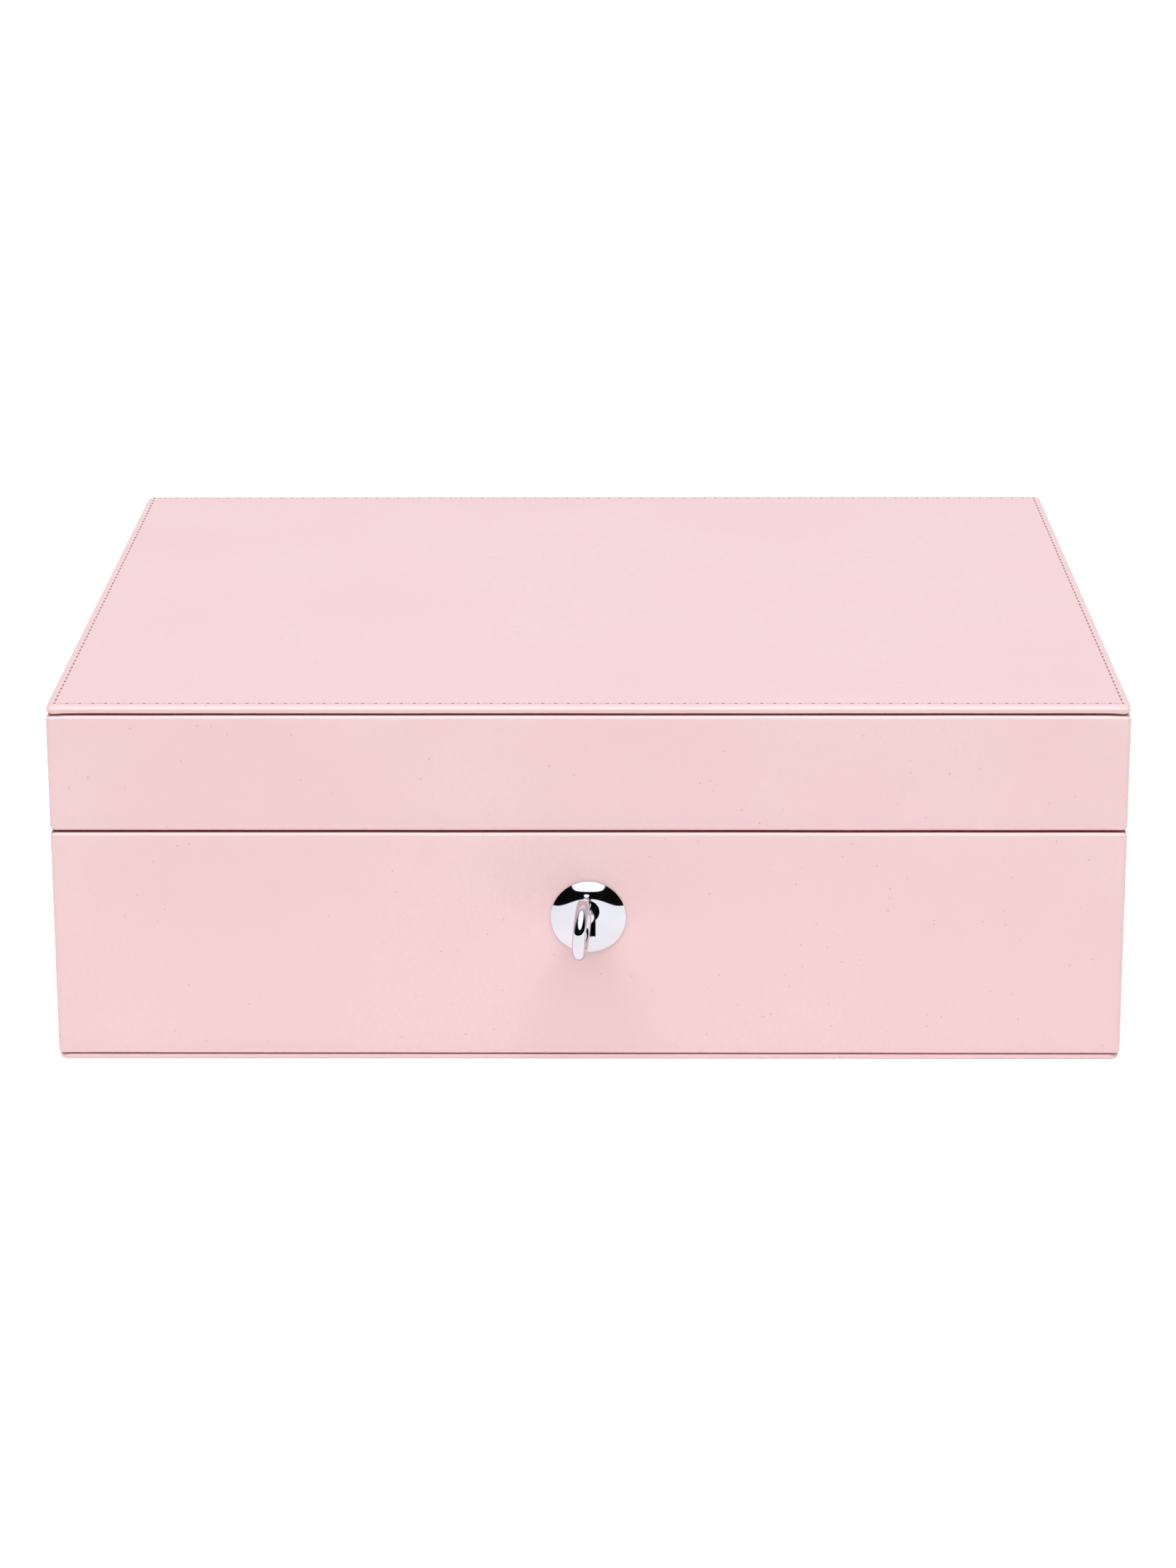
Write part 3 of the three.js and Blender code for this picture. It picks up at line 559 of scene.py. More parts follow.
def build_base_leather():
    bottom, top = BASE_LO.z, BASE_HI.z
    under, rim, far = 0.7 * MM, 1.0 * MM, RIM_INSET
    profile = [(SKIN, bottom)]
    profile += arc((under, bottom + under), under, 270, 180, 5)
    profile += [(0, bottom + 6 * MM), (0, bottom + 30 * MM), (0, top - 6 * MM)]
    profile += arc((rim, top - rim), rim, 180, 90, 7)
    profile += [(2 * MM, top), (5 * MM, top + 0.02 * MM), (far - MM, top)]
    profile += arc((far - 0.4 * MM, top - 0.4 * MM), 0.4 * MM, 90, 0, 3)
    profile += [(far, top - SKIN), (1.15 * MM, top - SKIN), (SKIN, top - 1.2 * MM)]
    keyhole = keyhole_cutter(0.2 * MM, -HALF_Y - MM, -HALF_Y + 1.3 * MM)
    cutters = [*hinge_cutters(), lock_plate_cutter(), keyhole]
    leather_band("base_leather_wrap", "base_leather", "base", profile, cutters)


def build_lid_leather():
    bottom, top = LID_LO.z, LID_HI.z
    rim, crown, far = 1.5 * MM, 1.1 * MM, RIM_INSET
    turned_in, hem, over = far + 0.15 * MM, bottom + 5 * MM, bottom + SKIN
    profile = [(SKIN + 0.2 * MM, over), (far - 0.05 * MM, over), (far, hem), (turned_in, hem)]
    profile += arc((turned_in - 0.5 * MM, bottom + 0.5 * MM), 0.5 * MM, 0, -90, 4)
    profile += [(far - MM, bottom), (5 * MM, bottom), (2.4 * MM, bottom)]
    profile += arc((rim, bottom + rim), rim, 270, 180, 7)
    profile += [(0, bottom + 6 * MM), (0, (bottom + top) / 2), (0, top - 6 * MM)]
    profile += arc((crown, top - crown), crown, 180, 90, 6)
    profile += [(1.9 * MM, top), (1.9 * MM, top - 0.8 * MM), (SKIN, top - SKIN), (SKIN, bottom + 2 * MM)]
    cutters = [*hinge_cutters(), lock_plate_cutter()]
    leather_band("lid_leather_wrap", "lid_leather", "lid", profile, cutters, dip=0.25 * MM)


def build_bottom_cover():
    """A leather-covered board under the base, with a suede sheet let into its underside."""
    low, high = COVER_LO.z, COVER_HI.z
    outline = Outline(HALF_X - 0.2 * MM, HALF_Y - 0.2 * MM, 3 * MM, 4 * MM)
    half = (high - low) / 2
    sheet_inset = 9 * MM
    profile = [(sheet_inset, low + 0.5 * MM), (sheet_inset, low + 0.1 * MM), (sheet_inset - 0.2 * MM, low)]
    profile += arc((half, low + half), half, 270, 90, 10)
    rings = []
    for inset, z in profile:
        uneven = 0.04 * MM if low < z < high else 0.0
        rings.append([(x, y, z + ripple(x, y, z, 45, uneven)) for x, y in outline.at(inset)])
    make_piece("bottom_cover_leather", *loft(rings), "pink_leather", "base", ["bottom_cover"])

    rings = [[(x, y, z) for x, y in outline.at(inset)] for inset, z in (
        (sheet_inset + 0.15 * MM, low + 0.45 * MM), (sheet_inset + 0.15 * MM, low + 0.15 * MM),
        (sheet_inset + 0.4 * MM, low + 0.04 * MM), (sheet_inset + 8 * MM, low + 0.04 * MM))]
    make_piece("underside_suede", *loft(rings, flip=True), "suede", "base")


# ---- lid panel ----
STITCH_INSET = 2.3 * MM
STITCH_PITCH = 3.43 * MM
CROWN = 0.35 * MM


def panel_height(inset):
    """Height of the padded panel over its edge's top, at a distance in from the edge."""
    groove = 0.03 * MM * math.exp(-((inset - STITCH_INSET) / (0.35 * MM)) ** 2)
    swell = min(1.0, max(0.0, (inset - STITCH_INSET) / (11 * MM)))
    return CROWN * math.sin(swell * math.pi / 2) - groove


def build_lid_panel():
    """The panel's leather: a bullnosed edge with folded corners, and a padded top."""
    low, high = PANEL_LO.z, PANEL_HI.z
    half = (high - low) / 2
    outline = Outline(HALF_X - 0.05 * MM, HALF_Y - 0.05 * MM, 2.3 * MM, 3 * MM, 8)
    board_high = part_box("lid_panel_board")[1]
    pocket = HALF_X - board_high.x - 0.3 * MM
    profile = [(pocket, board_high.z + 0.3 * MM), (pocket, low + 0.02 * MM)]
    profile += arc((half, low + half), half, 270, 90, 14)
    tops = [1.6, 1.9, 2.1, 2.3, 2.5, 2.8, 3.2, 4, 5, 6.5, 8.5, 11, 14, 20]
    profile += [(inset * MM, None) for inset in tops]
    rings = []
    for inset, z in profile:
        ring = []
        for x, y in outline.at(inset):
            corner = near_corner(x, y, 6.5 * MM)
            if z is None:
                height = high + panel_height(inset)
            elif inset < pocket:
                share = (high - z) / (high - low)
                height = z - 0.3 * MM * corner * share + ripple(x, y, z, 50, 0.05 * MM)
            else:
                height = z
            ring.append((x, y, height))
        rings.append(ring)
    replaced = ["lid_panel_leather"]
    panel = make_piece("lid_panel_padded", *loft(rings), "pink_leather", "lid", replaced)


def stitch_rows():
    """Start, end and count of stitches for the four rows."""
    x, y = HALF_X - STITCH_INSET, HALF_Y - STITCH_INSET
    corners = [Vector((-x, -y, 0)), Vector((x, -y, 0)), Vector((x, y, 0)), Vector((-x, y, 0))]
    for i in range(4):
        start, end = corners[i], corners[(i + 1) % 4]
        yield start, end, round((end - start).length / STITCH_PITCH)


def build_stitches():
    """Each stitch is a short arched thread that dips into a needle hole at both ends."""
    sides, steps = 8, 8
    radius, arch, sink = 0.20 * MM, 0.06 * MM, 0.14 * MM
    surface = PANEL_HI.z + panel_height(STITCH_INSET)
    points, faces, hole_points, hole_faces = [], [], [], []
    for start, end, count in stitch_rows():
        along = (end - start).normalized()
        side = Vector((0, 0, 1)).cross(along)
        pitch = (end - start).length / count
        for i in range(count):
            here = start + along * (i + 0.5) * pitch
            reach = pitch * (0.32 + 0.015 * noise.noise(here * 900))
            slant = 0.10 * MM + 0.05 * MM * noise.noise(here * 700 + Vector((5, 1, 2)))
            first = len(points)
            for s in range(steps + 1):
                t = 2 * s / steps - 1
                lift = arch * (1 - t * t) - sink * t ** 6 * 2.2
                centre = here + along * reach * t + side * slant * t + Vector((0, 0, surface + lift))
                thick = radius * (1 - 0.45 * t ** 4)
                for turn in circle(sides):
                    rise = Vector((0, 0, thick * 0.8 * math.sin(turn)))
                    points.append(centre + side * thick * math.cos(turn) + rise)
            for s in range(steps):
                for k in range(sides):
                    a, b = first + s * sides + k, first + s * sides + (k + 1) % sides
                    faces.append((a, b, b + sides, a + sides))
            faces.append(tuple(range(first, first + sides))[::-1])
            last = first + steps * sides
            faces.append(tuple(range(last, last + sides)))
            hole = start + along * i * pitch + Vector((0, 0, surface + 0.012 * MM))
            add_hole(hole_points, hole_faces, hole, along, side)
    make_piece("panel_stitching", points, faces, "pink_leather", "lid", material=THREAD)
    # The needle holes' lenses carry painted shade.
    make_piece("panel_needle_holes", hole_points, hole_faces, "pink_leather", "lid", material=HOLE)


def add_hole(points, faces, centre, along, side):
    """A shallow oval dimple: a thin lens lying in the seam, which carries a needle hole's painted shade."""
    sides = 10
    half_long, half_wide = 0.68 * MM, 0.36 * MM
    first = len(points)
    points.append(centre + Vector((0, 0, 0.03 * MM)))
    for scale, drop in ((0.7, -0.02 * MM), (1.0, 0.03 * MM)):
        for turn in circle(sides):
            offset = along * half_long * math.cos(turn) + side * half_wide * math.sin(turn)
            points.append(centre + offset * scale - Vector((0, 0, drop)))
    points.append(centre - Vector((0, 0, 0.12 * MM)))
    bottom = len(points) - 1
    for k in range(sides):
        j = (k + 1) % sides
        faces.append((first, first + 1 + k, first + 1 + j))
        faces.append((first + 1 + k, first + 1 + sides + k, first + 1 + sides + j, first + 1 + j))
        faces.append((first + 1 + sides + k, bottom, first + 1 + sides + j))


# ---- keyhole plate and key ----
PLATE_R = (PLATE_HI.x - PLATE_LO.x) / 2
PLATE_Z = (PLATE_HI.z + PLATE_LO.z) / 2
PLATE_BACK = -HALF_Y - 0.15 * MM
PLATE_RIM, DOME, DOME_POWER = 0.45 * MM, 2.1 * MM, 3.8


def dome_height(x, z):
    away = min(1.0, math.hypot(x, z - PLATE_Z) / PLATE_R)
    return PLATE_RIM + DOME * (1 - away ** DOME_POWER)


def keyhole_reach(turn):
    """Distance from the plate's centre to the keyhole's edge in one direction."""
    across, up = math.cos(turn), math.sin(turn)
    neck = KEY_AXIS_Z - math.sqrt(KEYHOLE_R ** 2 - KEYHOLE_HALF ** 2) - PLATE_Z
    side = KEYHOLE_HALF / max(abs(across), 1e-9)
    if side * up < neck:
        foot = (KEYHOLE_DROP - (KEY_AXIS_Z - PLATE_Z)) / max(-up, 1e-9)
        return min(side, foot)
    along = up * (KEY_AXIS_Z - PLATE_Z)
    return along + math.sqrt(along ** 2 - (KEY_AXIS_Z - PLATE_Z) ** 2 + KEYHOLE_R ** 2)


def build_plate():
    """A domed plate lofted from the keyhole's edge out to its round rim."""
    sides, steps, roll_steps = 160, 30, 4
    rolled = 0.25 * MM
    inside = 0.7 * MM
    turns = circle(sides)
    reaches = [keyhole_reach(turn) for turn in turns]

    def ring(radii, lower):
        points = []
        for turn, radius in zip(turns, radii):
            x, z = radius * math.cos(turn), PLATE_Z + radius * math.sin(turn)
            points.append((x, PLATE_BACK - dome_height(x, z) + lower, z))
        return points

    rings = [ring(reaches, inside)]
    for i in range(roll_steps + 1):
        turn = math.pi / 2 * i / roll_steps
        outer = [r + rolled * (1 - math.cos(turn)) for r in reaches]
        rings.append(ring(outer, rolled * (1 - math.sin(turn))))
    for i in range(1, steps + 1):
        t = math.sin(math.pi / 2 * i / steps)
        rings.append(ring([r + rolled + (PLATE_R - r - rolled) * t for r in reaches], 0))
    for scale, height in ((1.0, 0.2), (0.997, 0.06), (0.985, 0.0), (0.93, 0.0)):
        rings.append([(PLATE_R * scale * math.cos(turn), PLATE_BACK - height * MM,
                       PLATE_Z + PLATE_R * scale * math.sin(turn)) for turn in turns])
    rings.append(ring([PLATE_R * 0.9] * sides, inside))
    rings.append(ring([r + (PLATE_R * 0.9 - r) * 0.5 for r in reaches], inside))
    faces = bridge(rings, closed_along=True)
    plate = make_piece("lock_plate_dome", flattened(rings), faces, "nickel", "base", ["escutcheon"])
    shade_by_angle(plate, 40)


def build_keyhole_shade_sleeve():
    """A blackened sleeve that lines the keyhole through the leather and the wall, behind the plate: it shades the
    hole, and its black finish is painted shade as well.
    """
    inner, outer = 0.05 * MM, 0.35 * MM
    front, back = -HALF_Y - 1.6 * MM, -HALF_Y + 3.2 * MM
    rings = []
    for extra, y in ((inner, front), (outer, front), (outer, back), (inner, back)):
        rings.append([(x, y, z) for x, z in keyhole_outline(extra)])
    faces = bridge(rings, closed_along=True)
    sleeve = make_piece("keyhole_sleeve", flattened(rings), faces, "lock_black", "base")
    shade_by_angle(sleeve, 40)


KEY_ROLL = math.radians(4)
KEY_PIVOT = Vector((0.4 * MM, -112.8 * MM, KEY_AXIS_Z))
BOW_R, BOW_RADIAL, BOW_THICK, BOW_DISTANCE = 8 * MM, 3.2 * MM, 3.5 * MM, 18.9 * MM


def key_place():
    """Where the key stands in its hole: along the line that it slides out on, and rolled a little."""
    level = Matrix.Rotation(KEY_ROLL, 3, "Y")
    droop = Matrix.Rotation(math.asin(-KEY_OUT.z), 3, "X")
    lean = Matrix.Rotation(math.atan2(KEY_OUT.x, -KEY_OUT.y), 3, "Z")
    return Matrix.Translation(KEY_PIVOT) @ (lean @ droop @ level).to_4x4()


def lathe_y(profile, sides):
    """A profile of (radius, y) turned about the Y axis, with a flat face over both ends."""
    return loft([[(radius * math.cos(t), y, radius * math.sin(t)) for t in circle(sides)]
                 for radius, y in profile])


def bead(y, radius, width, foot, steps=6):
    """A rounded collar on a shank, from its outer end to its inner end."""
    turns = [math.pi * i / steps for i in range(steps + 1)]
    return [(foot + (radius - foot) * max(0.0, math.sin(turn)) ** 0.6, y - width / 2 * math.cos(turn))
            for turn in turns]


def bow_form():
    """The key's ring: a rounded rectangle for a section, with a fine ridge round its outside."""
    sides_round, sides_section = 96, 28
    squareness = 0.62
    ridge_height, ridge_power = 0.25 * MM, 12
    middle_r = BOW_R - BOW_RADIAL / 2
    rings = []
    for turn in circle(sides_round):
        ring = []
        for s in circle(sides_section):
            out, across = math.cos(s), math.sin(s)
            radial = BOW_RADIAL / 2 * math.copysign(abs(out) ** squareness, out)
            wide = BOW_THICK / 2 * math.copysign(abs(across) ** squareness, across)
            r = middle_r + radial + ridge_height * max(0.0, out) ** ridge_power
            ring.append((wide, -BOW_DISTANCE + r * math.cos(turn), r * math.sin(turn)))
        rings.append(ring)
    return loose("bow", flattened(rings), bridge(rings, closed_along=True))


def build_key():
    """A ring bow, three collars, a shank and a flat bit, made one by joining."""
    bow = bow_form()
    neck = -BOW_DISTANCE + BOW_R - BOW_RADIAL * 0.6
    shank_r = 1.3 * MM
    profile = [(0.2 * MM, neck), (1.75 * MM, neck), (1.7 * MM, -10.6 * MM), (1.5 * MM, -10.2 * MM)]
    profile += bead(-9.4 * MM, 2.3 * MM, 1.2 * MM, 1.5 * MM)
    profile += bead(-8.0 * MM, 2.0 * MM, 1.1 * MM, 1.4 * MM)
    profile += bead(-6.7 * MM, 1.8 * MM, 1.0 * MM, 1.35 * MM)
    profile += [(shank_r, -6.1 * MM), (shank_r, 1.9 * MM)]
    profile += [(shank_r - 0.3 * MM, 2.25 * MM), (0.2 * MM, 2.3 * MM)]
    shank = loose("shank", *lathe_y(profile, 40))
    bit = cutter_box((-0.6 * MM, 1.0 * MM, -5.6 * MM), (0.6 * MM, 2.3 * MM, -0.5 * MM))
    combine(bow, "UNION", [shank, bit])
    bow.name = "key_polished"
    bow.data.transform(key_place())
    coat(bow.data, "nickel")
    shade_by_angle(bow, 35)
    settle(bow, "key", ["key"])


def shade_by_angle(obj, degrees):
    """Smooth shading with sharp edges where two faces meet at more than an angle."""
    limit = math.radians(degrees)
    with edited(obj.data) as work:
        for face in work.faces:
            face.smooth = True
        for edge in work.edges:
            edge.smooth = not (len(edge.link_faces) == 2 and edge.calc_face_angle() > limit)


# ---- pieces made from the frame's own shapes ----
BODY_OF = {node: body for body, nodes in frame["record"]["behaviour"]["bodies"].items() for node in nodes}
SLOT_OF = {row["node"]: row["material_slot"] for row in frame["record"]["subparts"]}


def refined(node, width, segments=2):
    """A copy of a CAD part with its flat faces joined and its edges rounded."""
    mesh = frame["nodes"][node].data.copy()
    with edited(mesh) as work:
        bmesh.ops.remove_doubles(work, verts=work.verts, dist=0.001 * MM)
        bmesh.ops.dissolve_limit(work, angle_limit=math.radians(1), verts=work.verts, edges=work.edges)
    obj = add_object(f"{node}_fine", mesh)
    add_bevel(obj, width, segments).miter_outer = "MITER_ARC"
    apply_modifiers(obj)
    shade_by_angle(obj, 40)
    flat = obj.modifiers.new("flat", "WEIGHTED_NORMAL")
    flat.keep_sharp = True
    apply_modifiers(obj)
    slot = SLOT_OF[node]
    coat(obj.data, slot)
    return settle(obj, BODY_OF[node], [node])


def stops(low, high, radius, step):
    """Places along an edge: close together over the rounded ends, then evenly spaced."""
    rounded = [radius * (1 - math.cos(math.radians(turn))) for turn in (0, 22, 45, 68, 90)]
    count = max(1, round((high - low - 2 * radius) / step))
    middle = [low + radius + (high - low - 2 * radius) * i / count for i in range(1, count)]
    return [low + r for r in rounded] + middle + [high - r for r in reversed(rounded)]


def soft_block(node, radius, crown):
    """A card or pad in suede or leather: rounded edges, and broad faces that swell a little and undulate."""
    low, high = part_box(node)
    size = high - low
    thin = min(range(3), key=lambda i: size[i])
    radius = min(radius, min(size) * 0.49)
    places = [stops(low[i], high[i], radius, 7 * MM) for i in range(3)]
    index_of, points, faces = {}, [], []

    def vertex(grid):
        if grid not in index_of:
            index_of[grid] = len(points)
            points.append(shaped(Vector([places[i][grid[i]] for i in range(3)])))
        return index_of[grid]

    def shaped(point):
        core = Vector([min(max(point[i], low[i] + radius), high[i] - radius) for i in range(3)])
        out = point - core
        if out.length > 0:
            point = core + out.normalized() * radius
        swell = 1.0
        for i in range(3):
            if i != thin:
                t = 2 * (point[i] - low[i]) / size[i] - 1
                swell *= max(0.0, 1 - t ** 4)
        side = 1 if point[thin] > (low[thin] + high[thin]) / 2 else -1
        lift = crown * swell + ripple(*point, 28, 0.06 * MM) * swell
        point[thin] += side * lift
        return point

    for i in range(3):
        j, k = (i + 1) % 3, (i + 2) % 3
        for end in (0, len(places[i]) - 1):
            for a in range(len(places[j]) - 1):
                for b in range(len(places[k]) - 1):
                    quad = []
                    for da, db in ((0, 0), (1, 0), (1, 1), (0, 1)):
                        grid = [0, 0, 0]
                        grid[i], grid[j], grid[k] = end, a + da, b + db
                        quad.append(vertex(tuple(grid)))
                    faces.append(tuple(quad if end else quad[::-1]))
    slot = SLOT_OF[node]
    obj = make_piece(f"{node}_soft", points, faces, slot, BODY_OF[node], [node])


# ---- inside ----
def build_linings():
    for part in ("base", "lid"):
        for side in ("front", "back", "left", "right"):
            soft_block(f"{part}_lining_{side}", 0.6 * MM, crown=0.05 * MM)
    for node in ("tray_rail_front", "tray_rail_back", "lower_divider_left", "lower_divider_right"):
        soft_block(node, 0.9 * MM, crown=0.05 * MM)
    soft_block("base_pad", 1.6 * MM, crown=0.12 * MM)
    soft_block("lid_lining_top", 1.2 * MM, crown=0.1 * MM)


TRAY_WALL, TRAY_FLOOR = 3 * MM, 2.5 * MM


def build_trays():
    for side, rows in (("left", 2), ("right", 3)):
        low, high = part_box(f"tray_{side}")
        middle_x = (low.x + high.x) / 2
        xs = [low.x, low.x + TRAY_WALL, middle_x - TRAY_WALL / 2, middle_x + TRAY_WALL / 2,
              high.x - TRAY_WALL, high.x]
        depth = (high.y - low.y - (rows + 1) * TRAY_WALL) / rows
        if side == "left":
            ys = [low.y, low.y + TRAY_WALL, 0, TRAY_WALL, high.y - TRAY_WALL, high.y]
        else:
            ys = [low.y + i // 2 * (depth + TRAY_WALL) + i % 2 * TRAY_WALL for i in range(2 * rows + 2)]
        hollows = {(i, j) for i in (1, 3) for j in range(1, len(ys) - 1, 2)}
        if side == "left":
            hollows.add((2, 1))
        build_tray(f"tray_{side}", xs, ys, hollows, low.z, high.z)
        build_tab(f"tray_{side}_tab")


def build_tray(node, xs, ys, hollows, bottom, top):
    """A tray from a grid: rims where the grid is solid, a floor and walls where it is hollow."""
    index_of, points, faces = {}, [], []

    def vertex(i, j, z):
        key = (i, j, z)
        if key not in index_of:
            index_of[key] = len(points)
            points.append((xs[i], ys[j], z))
        return index_of[key]

    floor = bottom + TRAY_FLOOR
    last_x, last_y = len(xs) - 1, len(ys) - 1
    for i in range(last_x):
        for j in range(last_y):
            inside = (i, j) in hollows
            z = floor if inside else top
            square = [(i, j), (i + 1, j), (i + 1, j + 1), (i, j + 1)]
            faces.append(tuple(vertex(a, b, z) for a, b in square))
            faces.append(tuple(vertex(a, b, bottom) for a, b in (square[0], *square[:0:-1])))
            neighbours = [(i, j - 1), (i + 1, j), (i, j + 1), (i - 1, j)]
            for start, end, beyond in zip(square, square[1:] + square[:1], neighbours):
                outside = not (0 <= beyond[0] < last_x and 0 <= beyond[1] < last_y)
                if outside:
                    faces.append((vertex(*start, bottom), vertex(*end, bottom), vertex(*end, top),
                                  vertex(*start, top)))
                elif inside and beyond not in hollows:
                    faces.append((vertex(*start, floor), vertex(*start, top), vertex(*end, top),
                                  vertex(*end, floor)))
    tray = make_piece(f"{node}_covered", points, faces, "suede", BODY_OF[node], [node])
    add_bevel(tray, 0.9 * MM, 4)
    apply_modifiers(tray)
    shade_by_angle(tray, 40)


def build_tab(node):
    """A leather pull tab with a round end and softened edges."""
    low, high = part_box(node)
    half = (high.y - low.y) / 2
    middle_y = (high.y + low.y) / 2
    edge, sheet = 0.35 * MM, 1.5 * MM
    outline = [(low.y, low.z), (high.y, low.z)]
    outline += arc((middle_y, high.z - half), half, 0, 180, 16)
    middle_z, tall = (high.z + low.z) / 2, (high.z - low.z) / 2
    rings = []
    side = ((sheet, 0), (edge, 0), (edge * 0.3, edge * 0.3), (0, edge))
    for inset, x in ([(inset, low.x + depth) for inset, depth in side]
                     + [(inset, high.x - depth) for inset, depth in reversed(side)]):
        across, up = 1 - inset / half, 1 - inset / tall
        rings.append([(x, middle_y + (y - middle_y) * across, middle_z + (z - middle_z) * up)
                      for y, z in outline])
    tab = make_piece(f"{node}_strap", *loft(rings), "pink_leather", BODY_OF[node], [node])
    shade_by_angle(tab, 45)


def build_ring_rolls():
    """One roll is swelled as cloth, and every roll is a copy of it."""
    low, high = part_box("ring_roll_1")
    roll = roll_form(low, high)
    inflate(roll, pressure=4.0, cap=1.0 * MM)
    keep_inside(roll, low - Vector((0, 0.25, 0)) * MM, high + Vector((0, 0.25, 1.0)) * MM)
    subdivide(roll)
    shape = roll.data
    for index in range(1, 6):
        node = f"ring_roll_{index}"
        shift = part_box(node)[0] - low
        mesh = shape.copy()
        flip = -1 if index % 2 else 1
        middle_x = (low.x + high.x) / 2
        mesh.transform(Matrix.Translation(shift))
        for vertex in mesh.vertices:
            away = vertex.co.x - middle_x
            vertex.co.z += flip * 0.15 * MM * math.sin(away * 90) * (vertex.co.z - low.z) / (high.z - low.z)
        obj = add_object(f"{node}_padded", mesh)
        coat(mesh, "suede")
        settle(obj, BODY_OF[node], [node])
    bpy.data.objects.remove(roll)


def roll_form(low, high):
    """A long pad with a round back, a little smaller than its place."""
    shrink = 0.7 * MM
    y0, y1 = low.y + shrink, high.y - shrink
    x0, x1 = low.x + 0.4 * MM, high.x - 0.4 * MM
    half, middle_y = (y1 - y0) / 2, (y0 + y1) / 2
    top = high.z - shrink
    corner = 2.0 * MM
    section = arc((y0 + corner, low.z + corner), corner, 180, 270, 3)
    section += arc((y1 - corner, low.z + corner), corner, 270, 360, 3)
    section += arc((middle_y, top - half), half, 0, 180, 14)
    rounded, steps = 2.8 * MM, 30
    ends = [(0.0, 0.74), (0.5 * MM, 0.88), (1.4 * MM, 0.96), (rounded, 1.0)]
    along = [(x0 + d, scale) for d, scale in ends]
    along += [(x0 + rounded + (x1 - x0 - 2 * rounded) * i / steps, 1.0) for i in range(1, steps)]
    along += [(x1 - d, scale) for d, scale in reversed(ends)]
    rings = [[(x, middle_y + (y - middle_y) * scale, low.z + (z - low.z) * scale) for y, z in section]
             for x, scale in along]
    roll = loose("roll", *loft(rings))
    remesh = roll.modifiers.new("remesh", "REMESH")
    remesh.mode = "VOXEL"
    remesh.voxel_size = 2.2 * MM
    apply_modifiers(roll)
    for polygon in roll.data.polygons:
        polygon.use_smooth = True
    return roll


def inflate(obj, pressure, cap):
    """Swells a closed form as cloth over 20 frames and keeps each point near where it began."""
    start = [vertex.co.copy() for vertex in obj.data.vertices]
    cloth = obj.modifiers.new("cloth", "CLOTH")
    settings = cloth.settings
    settings.use_pressure = True
    settings.uniform_pressure_force = pressure
    settings.effector_weights.gravity = 0
    settings.tension_stiffness = 25
    settings.bending_stiffness = 2
    scene = bpy.context.scene
    for number in range(1, 21):
        scene.frame_set(number)
    apply_modifiers(obj)
    scene.frame_set(1)
    for vertex, origin in zip(obj.data.vertices, start):
        move = vertex.co - origin
        if move.length > cap:
            vertex.co = origin + move.normalized() * cap


def keep_inside(obj, low, high):
    for vertex in obj.data.vertices:
        vertex.co = Vector([min(max(vertex.co[i], low[i]), high[i]) for i in range(3)])


def subdivide(obj):
    smooth = obj.modifiers.new("smooth", "SUBSURF")
    smooth.levels = 1
    apply_modifiers(obj)


def build_mirror():
    refined("lid_mirror", 0.3 * MM)
    refined("lid_mirror_frame", 0.8 * MM, 5)


# ---- hinges and lock ----
LEAF_SCREW_X, LEAF_SCREW_INSET = 9 * MM, 3.4 * MM


def screw(centre, down):
    """A countersunk screw with a cut slot and its head's face at centre. The profile is in mm."""
    sides = 24
    length, head, shank, pitch, depth = 6.0, 1.1, 0.65, 0.55, 0.14
    profile = [(0.05, 0.0), (head - 0.12, 0.0), (head, 0.1), (head, 0.2), (shank, 0.75)]
    for i in range(int((length - 2.0) / pitch)):
        z = 1.0 + i * pitch
        profile += [(shank, z), (shank - depth, z + pitch / 2)]
    profile += [(0.05, length)]
    sign = -1 if down else 1
    rings = []
    for radius, depth_in in profile:
        rings.append([(centre.x + radius * MM * math.cos(turn),
                       centre.y + sign * radius * MM * math.sin(turn),
                       centre.z + sign * depth_in * MM) for turn in circle(sides)])
    obj = loose("screw", *loft(rings, flip=True))
    slot_half = 0.13 * MM
    cut = sorted((centre.z - sign * MM, centre.z + sign * 0.35 * MM))
    slot = cutter_box((centre.x - 2 * MM, centre.y - slot_half, cut[0]),
                      (centre.x + 2 * MM, centre.y + slot_half, cut[1]))
    combine(obj, "DIFFERENCE", [slot])
    return obj


def join_pieces(name, parts, slot, body):
    work = bmesh.new()
    for part in parts:
        work.from_mesh(part.data)
        bpy.data.objects.remove(part)
    mesh = bpy.data.meshes.new(name)
    work.to_mesh(mesh)
    work.free()
    coat(mesh, slot)
    obj = add_object(name, mesh)
    shade_by_angle(obj, 40)
    return settle(obj, body)


def build_hinges():
    for side in ("left", "right"):
        refined(f"hinge_{side}_pin", 0.15 * MM)
        for part, down in (("base", True), ("lid", False)):
            node = f"hinge_{side}_{part}_leaf"
            refined(node, 0.12 * MM)
            low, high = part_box(node)
            face = HINGE_Z + (-0.25 if down else 0.25) * MM
            middle = (low.x + high.x) / 2
            screws = [screw(Vector((middle + x, low.y + LEAF_SCREW_INSET, face)), down)
                      for x in (-LEAF_SCREW_X, LEAF_SCREW_X)]
            join_pieces(f"hinge_{side}_{part}_screws", screws, "nickel", BODY_OF[node])


def build_lock():
    for part in ("case", "cap", "selvedge", "cam", "bolt", "spring"):
        refined(f"lock_{part}", 0.12 * MM)
    refined("link_plate", 0.12 * MM)
    for node in ("lock_screw_left", "lock_screw_right", "link_screw_left", "link_screw_right"):
        refined(node, 0.06 * MM, 1)


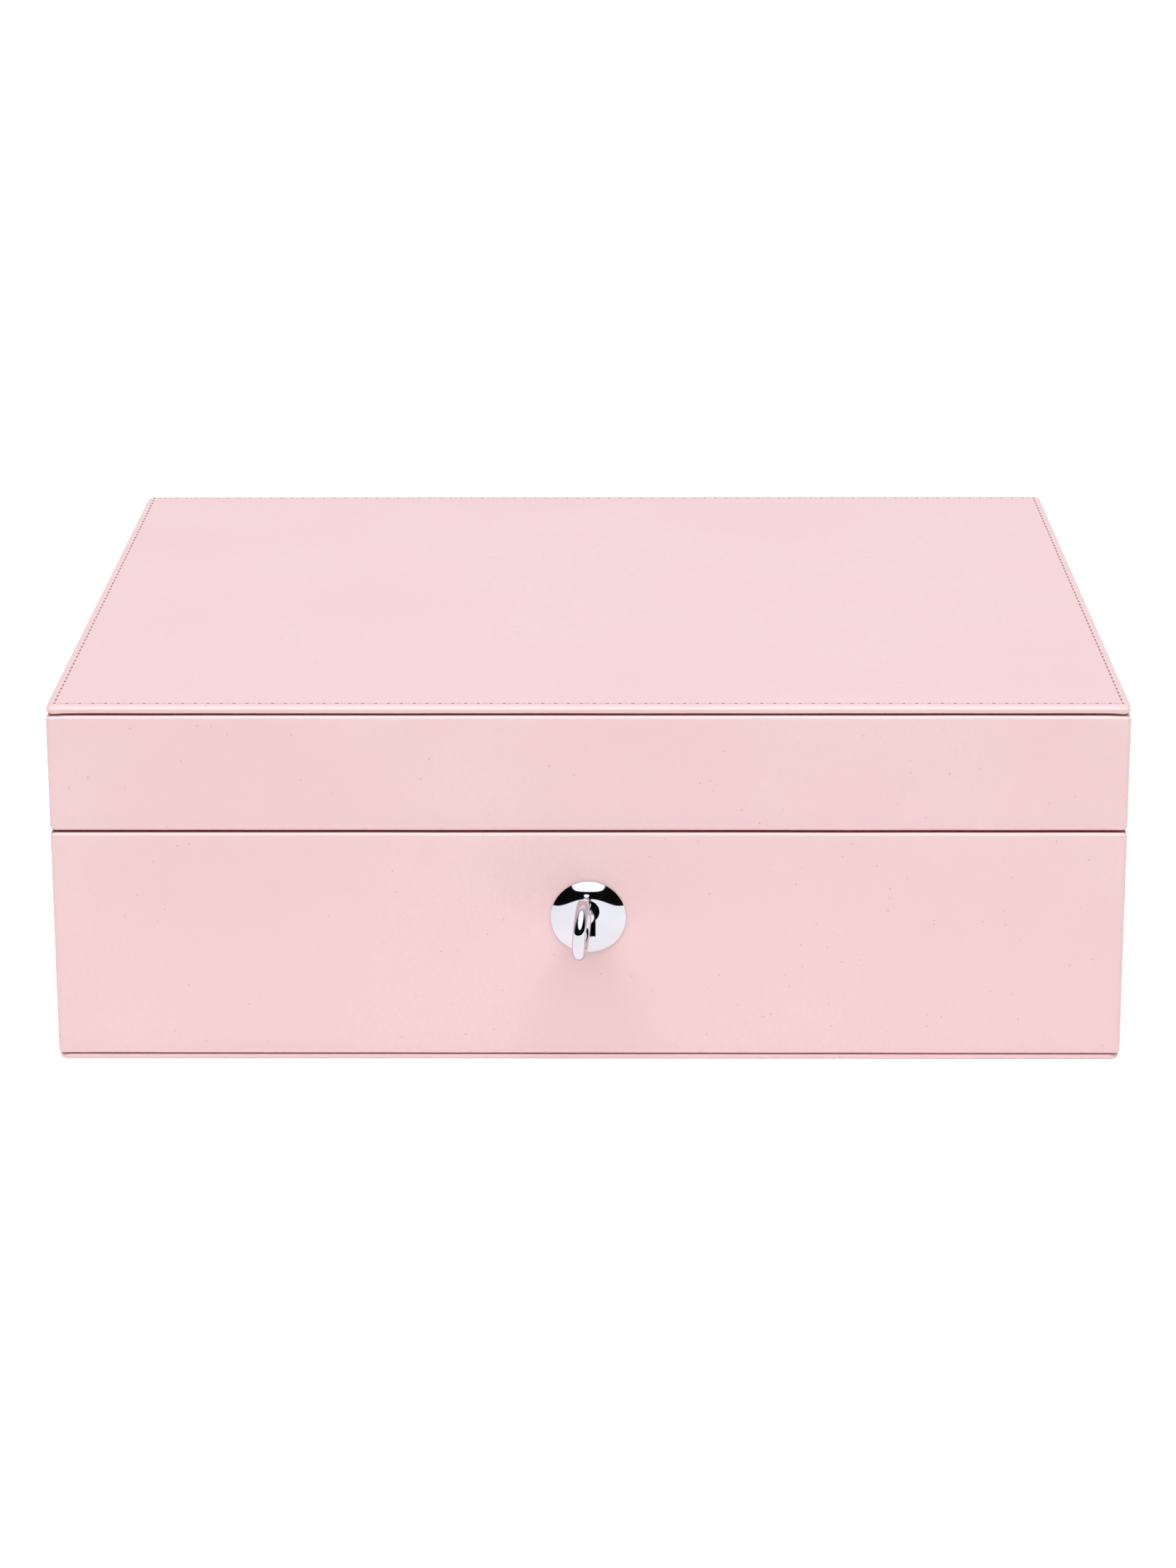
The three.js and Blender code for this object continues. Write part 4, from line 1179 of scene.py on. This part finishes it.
# ---- studio ----
def build_floor():
    """A plain white floor that glows a little all over, like a lit table."""
    n = material_nodes("studio_floor")
    tone = n.blend(n.noise(6, 2), (0.87, 0.88, 0.86), (0.88, 0.89, 0.87))
    n.finish(tone, 0.9, Emission_Color=FLOOR_TINT, Emission_Strength=FLOOR_GLOW)
    corners = [(x * FLOOR_SIZE, y * FLOOR_SIZE, 0) for x, y in ((-1, -1), (1, -1), (1, 1), (-1, 1))]
    floor = loose("floor", corners, [(0, 1, 2, 3)])
    floor.data.materials.append(n.owner)


def build_world():
    """White all round the back, a dark studio in front, and a big soft panel high up in front."""
    world = bpy.data.worlds.new("studio")
    bpy.context.scene.world = world
    n = Nodes(world, "Generated")
    split = n.separated()
    rise = n.math("MAXIMUM", split["Z"], 0.001)
    sideways = n.math("DIVIDE", split["X"], rise)
    forward = n.math("DIVIDE", n.math("MULTIPLY", split["Y"], -1), rise)

    def oval(middle, half_width, half_length, border):
        """1 inside an oval patch of the ceiling, falling to 0 across its soft border."""
        across = n.math("DIVIDE", sideways, half_width)
        along = n.math("DIVIDE", n.math("SUBTRACT", forward, middle), half_length)
        reach = n.math("ADD", n.math("MULTIPLY", across, across), n.math("MULTIPLY", along, along))
        return n.remap(reach, 1 - border, 1 + border, 1, 0, "SMOOTHSTEP")

    panel = n.math("MULTIPLY", oval(*PANEL_OVAL), PANEL_LIGHT)
    core = n.math("MULTIPLY", oval(*CORE_OVAL), CORE_LIGHT)
    surround = n.remap(split["Y"], FRONT_EDGE, BACK_EDGE, DARK_SIDE, BACK_LIGHT, "SMOOTHSTEP")
    background = n.tree.nodes["Background"].inputs
    n.link(n.math("ADD", surround, n.math("ADD", panel, core)), background["Strength"])
    background["Color"].default_value = ROOM_TINT
    bpy.context.scene.view_settings.view_transform = "Standard"


make_camera()
build_floor()
build_world()
build_base_leather()
build_lid_leather()
build_bottom_cover()
build_lid_panel()
build_stitches()
build_plate()
build_keyhole_shade_sleeve()
build_key()
build_linings()
build_trays()
build_ring_rolls()
build_mirror()
build_hinges()
build_lock()
for part, part_slot in SLOT_OF.items():
    coat(frame["nodes"][part].data, part_slot)
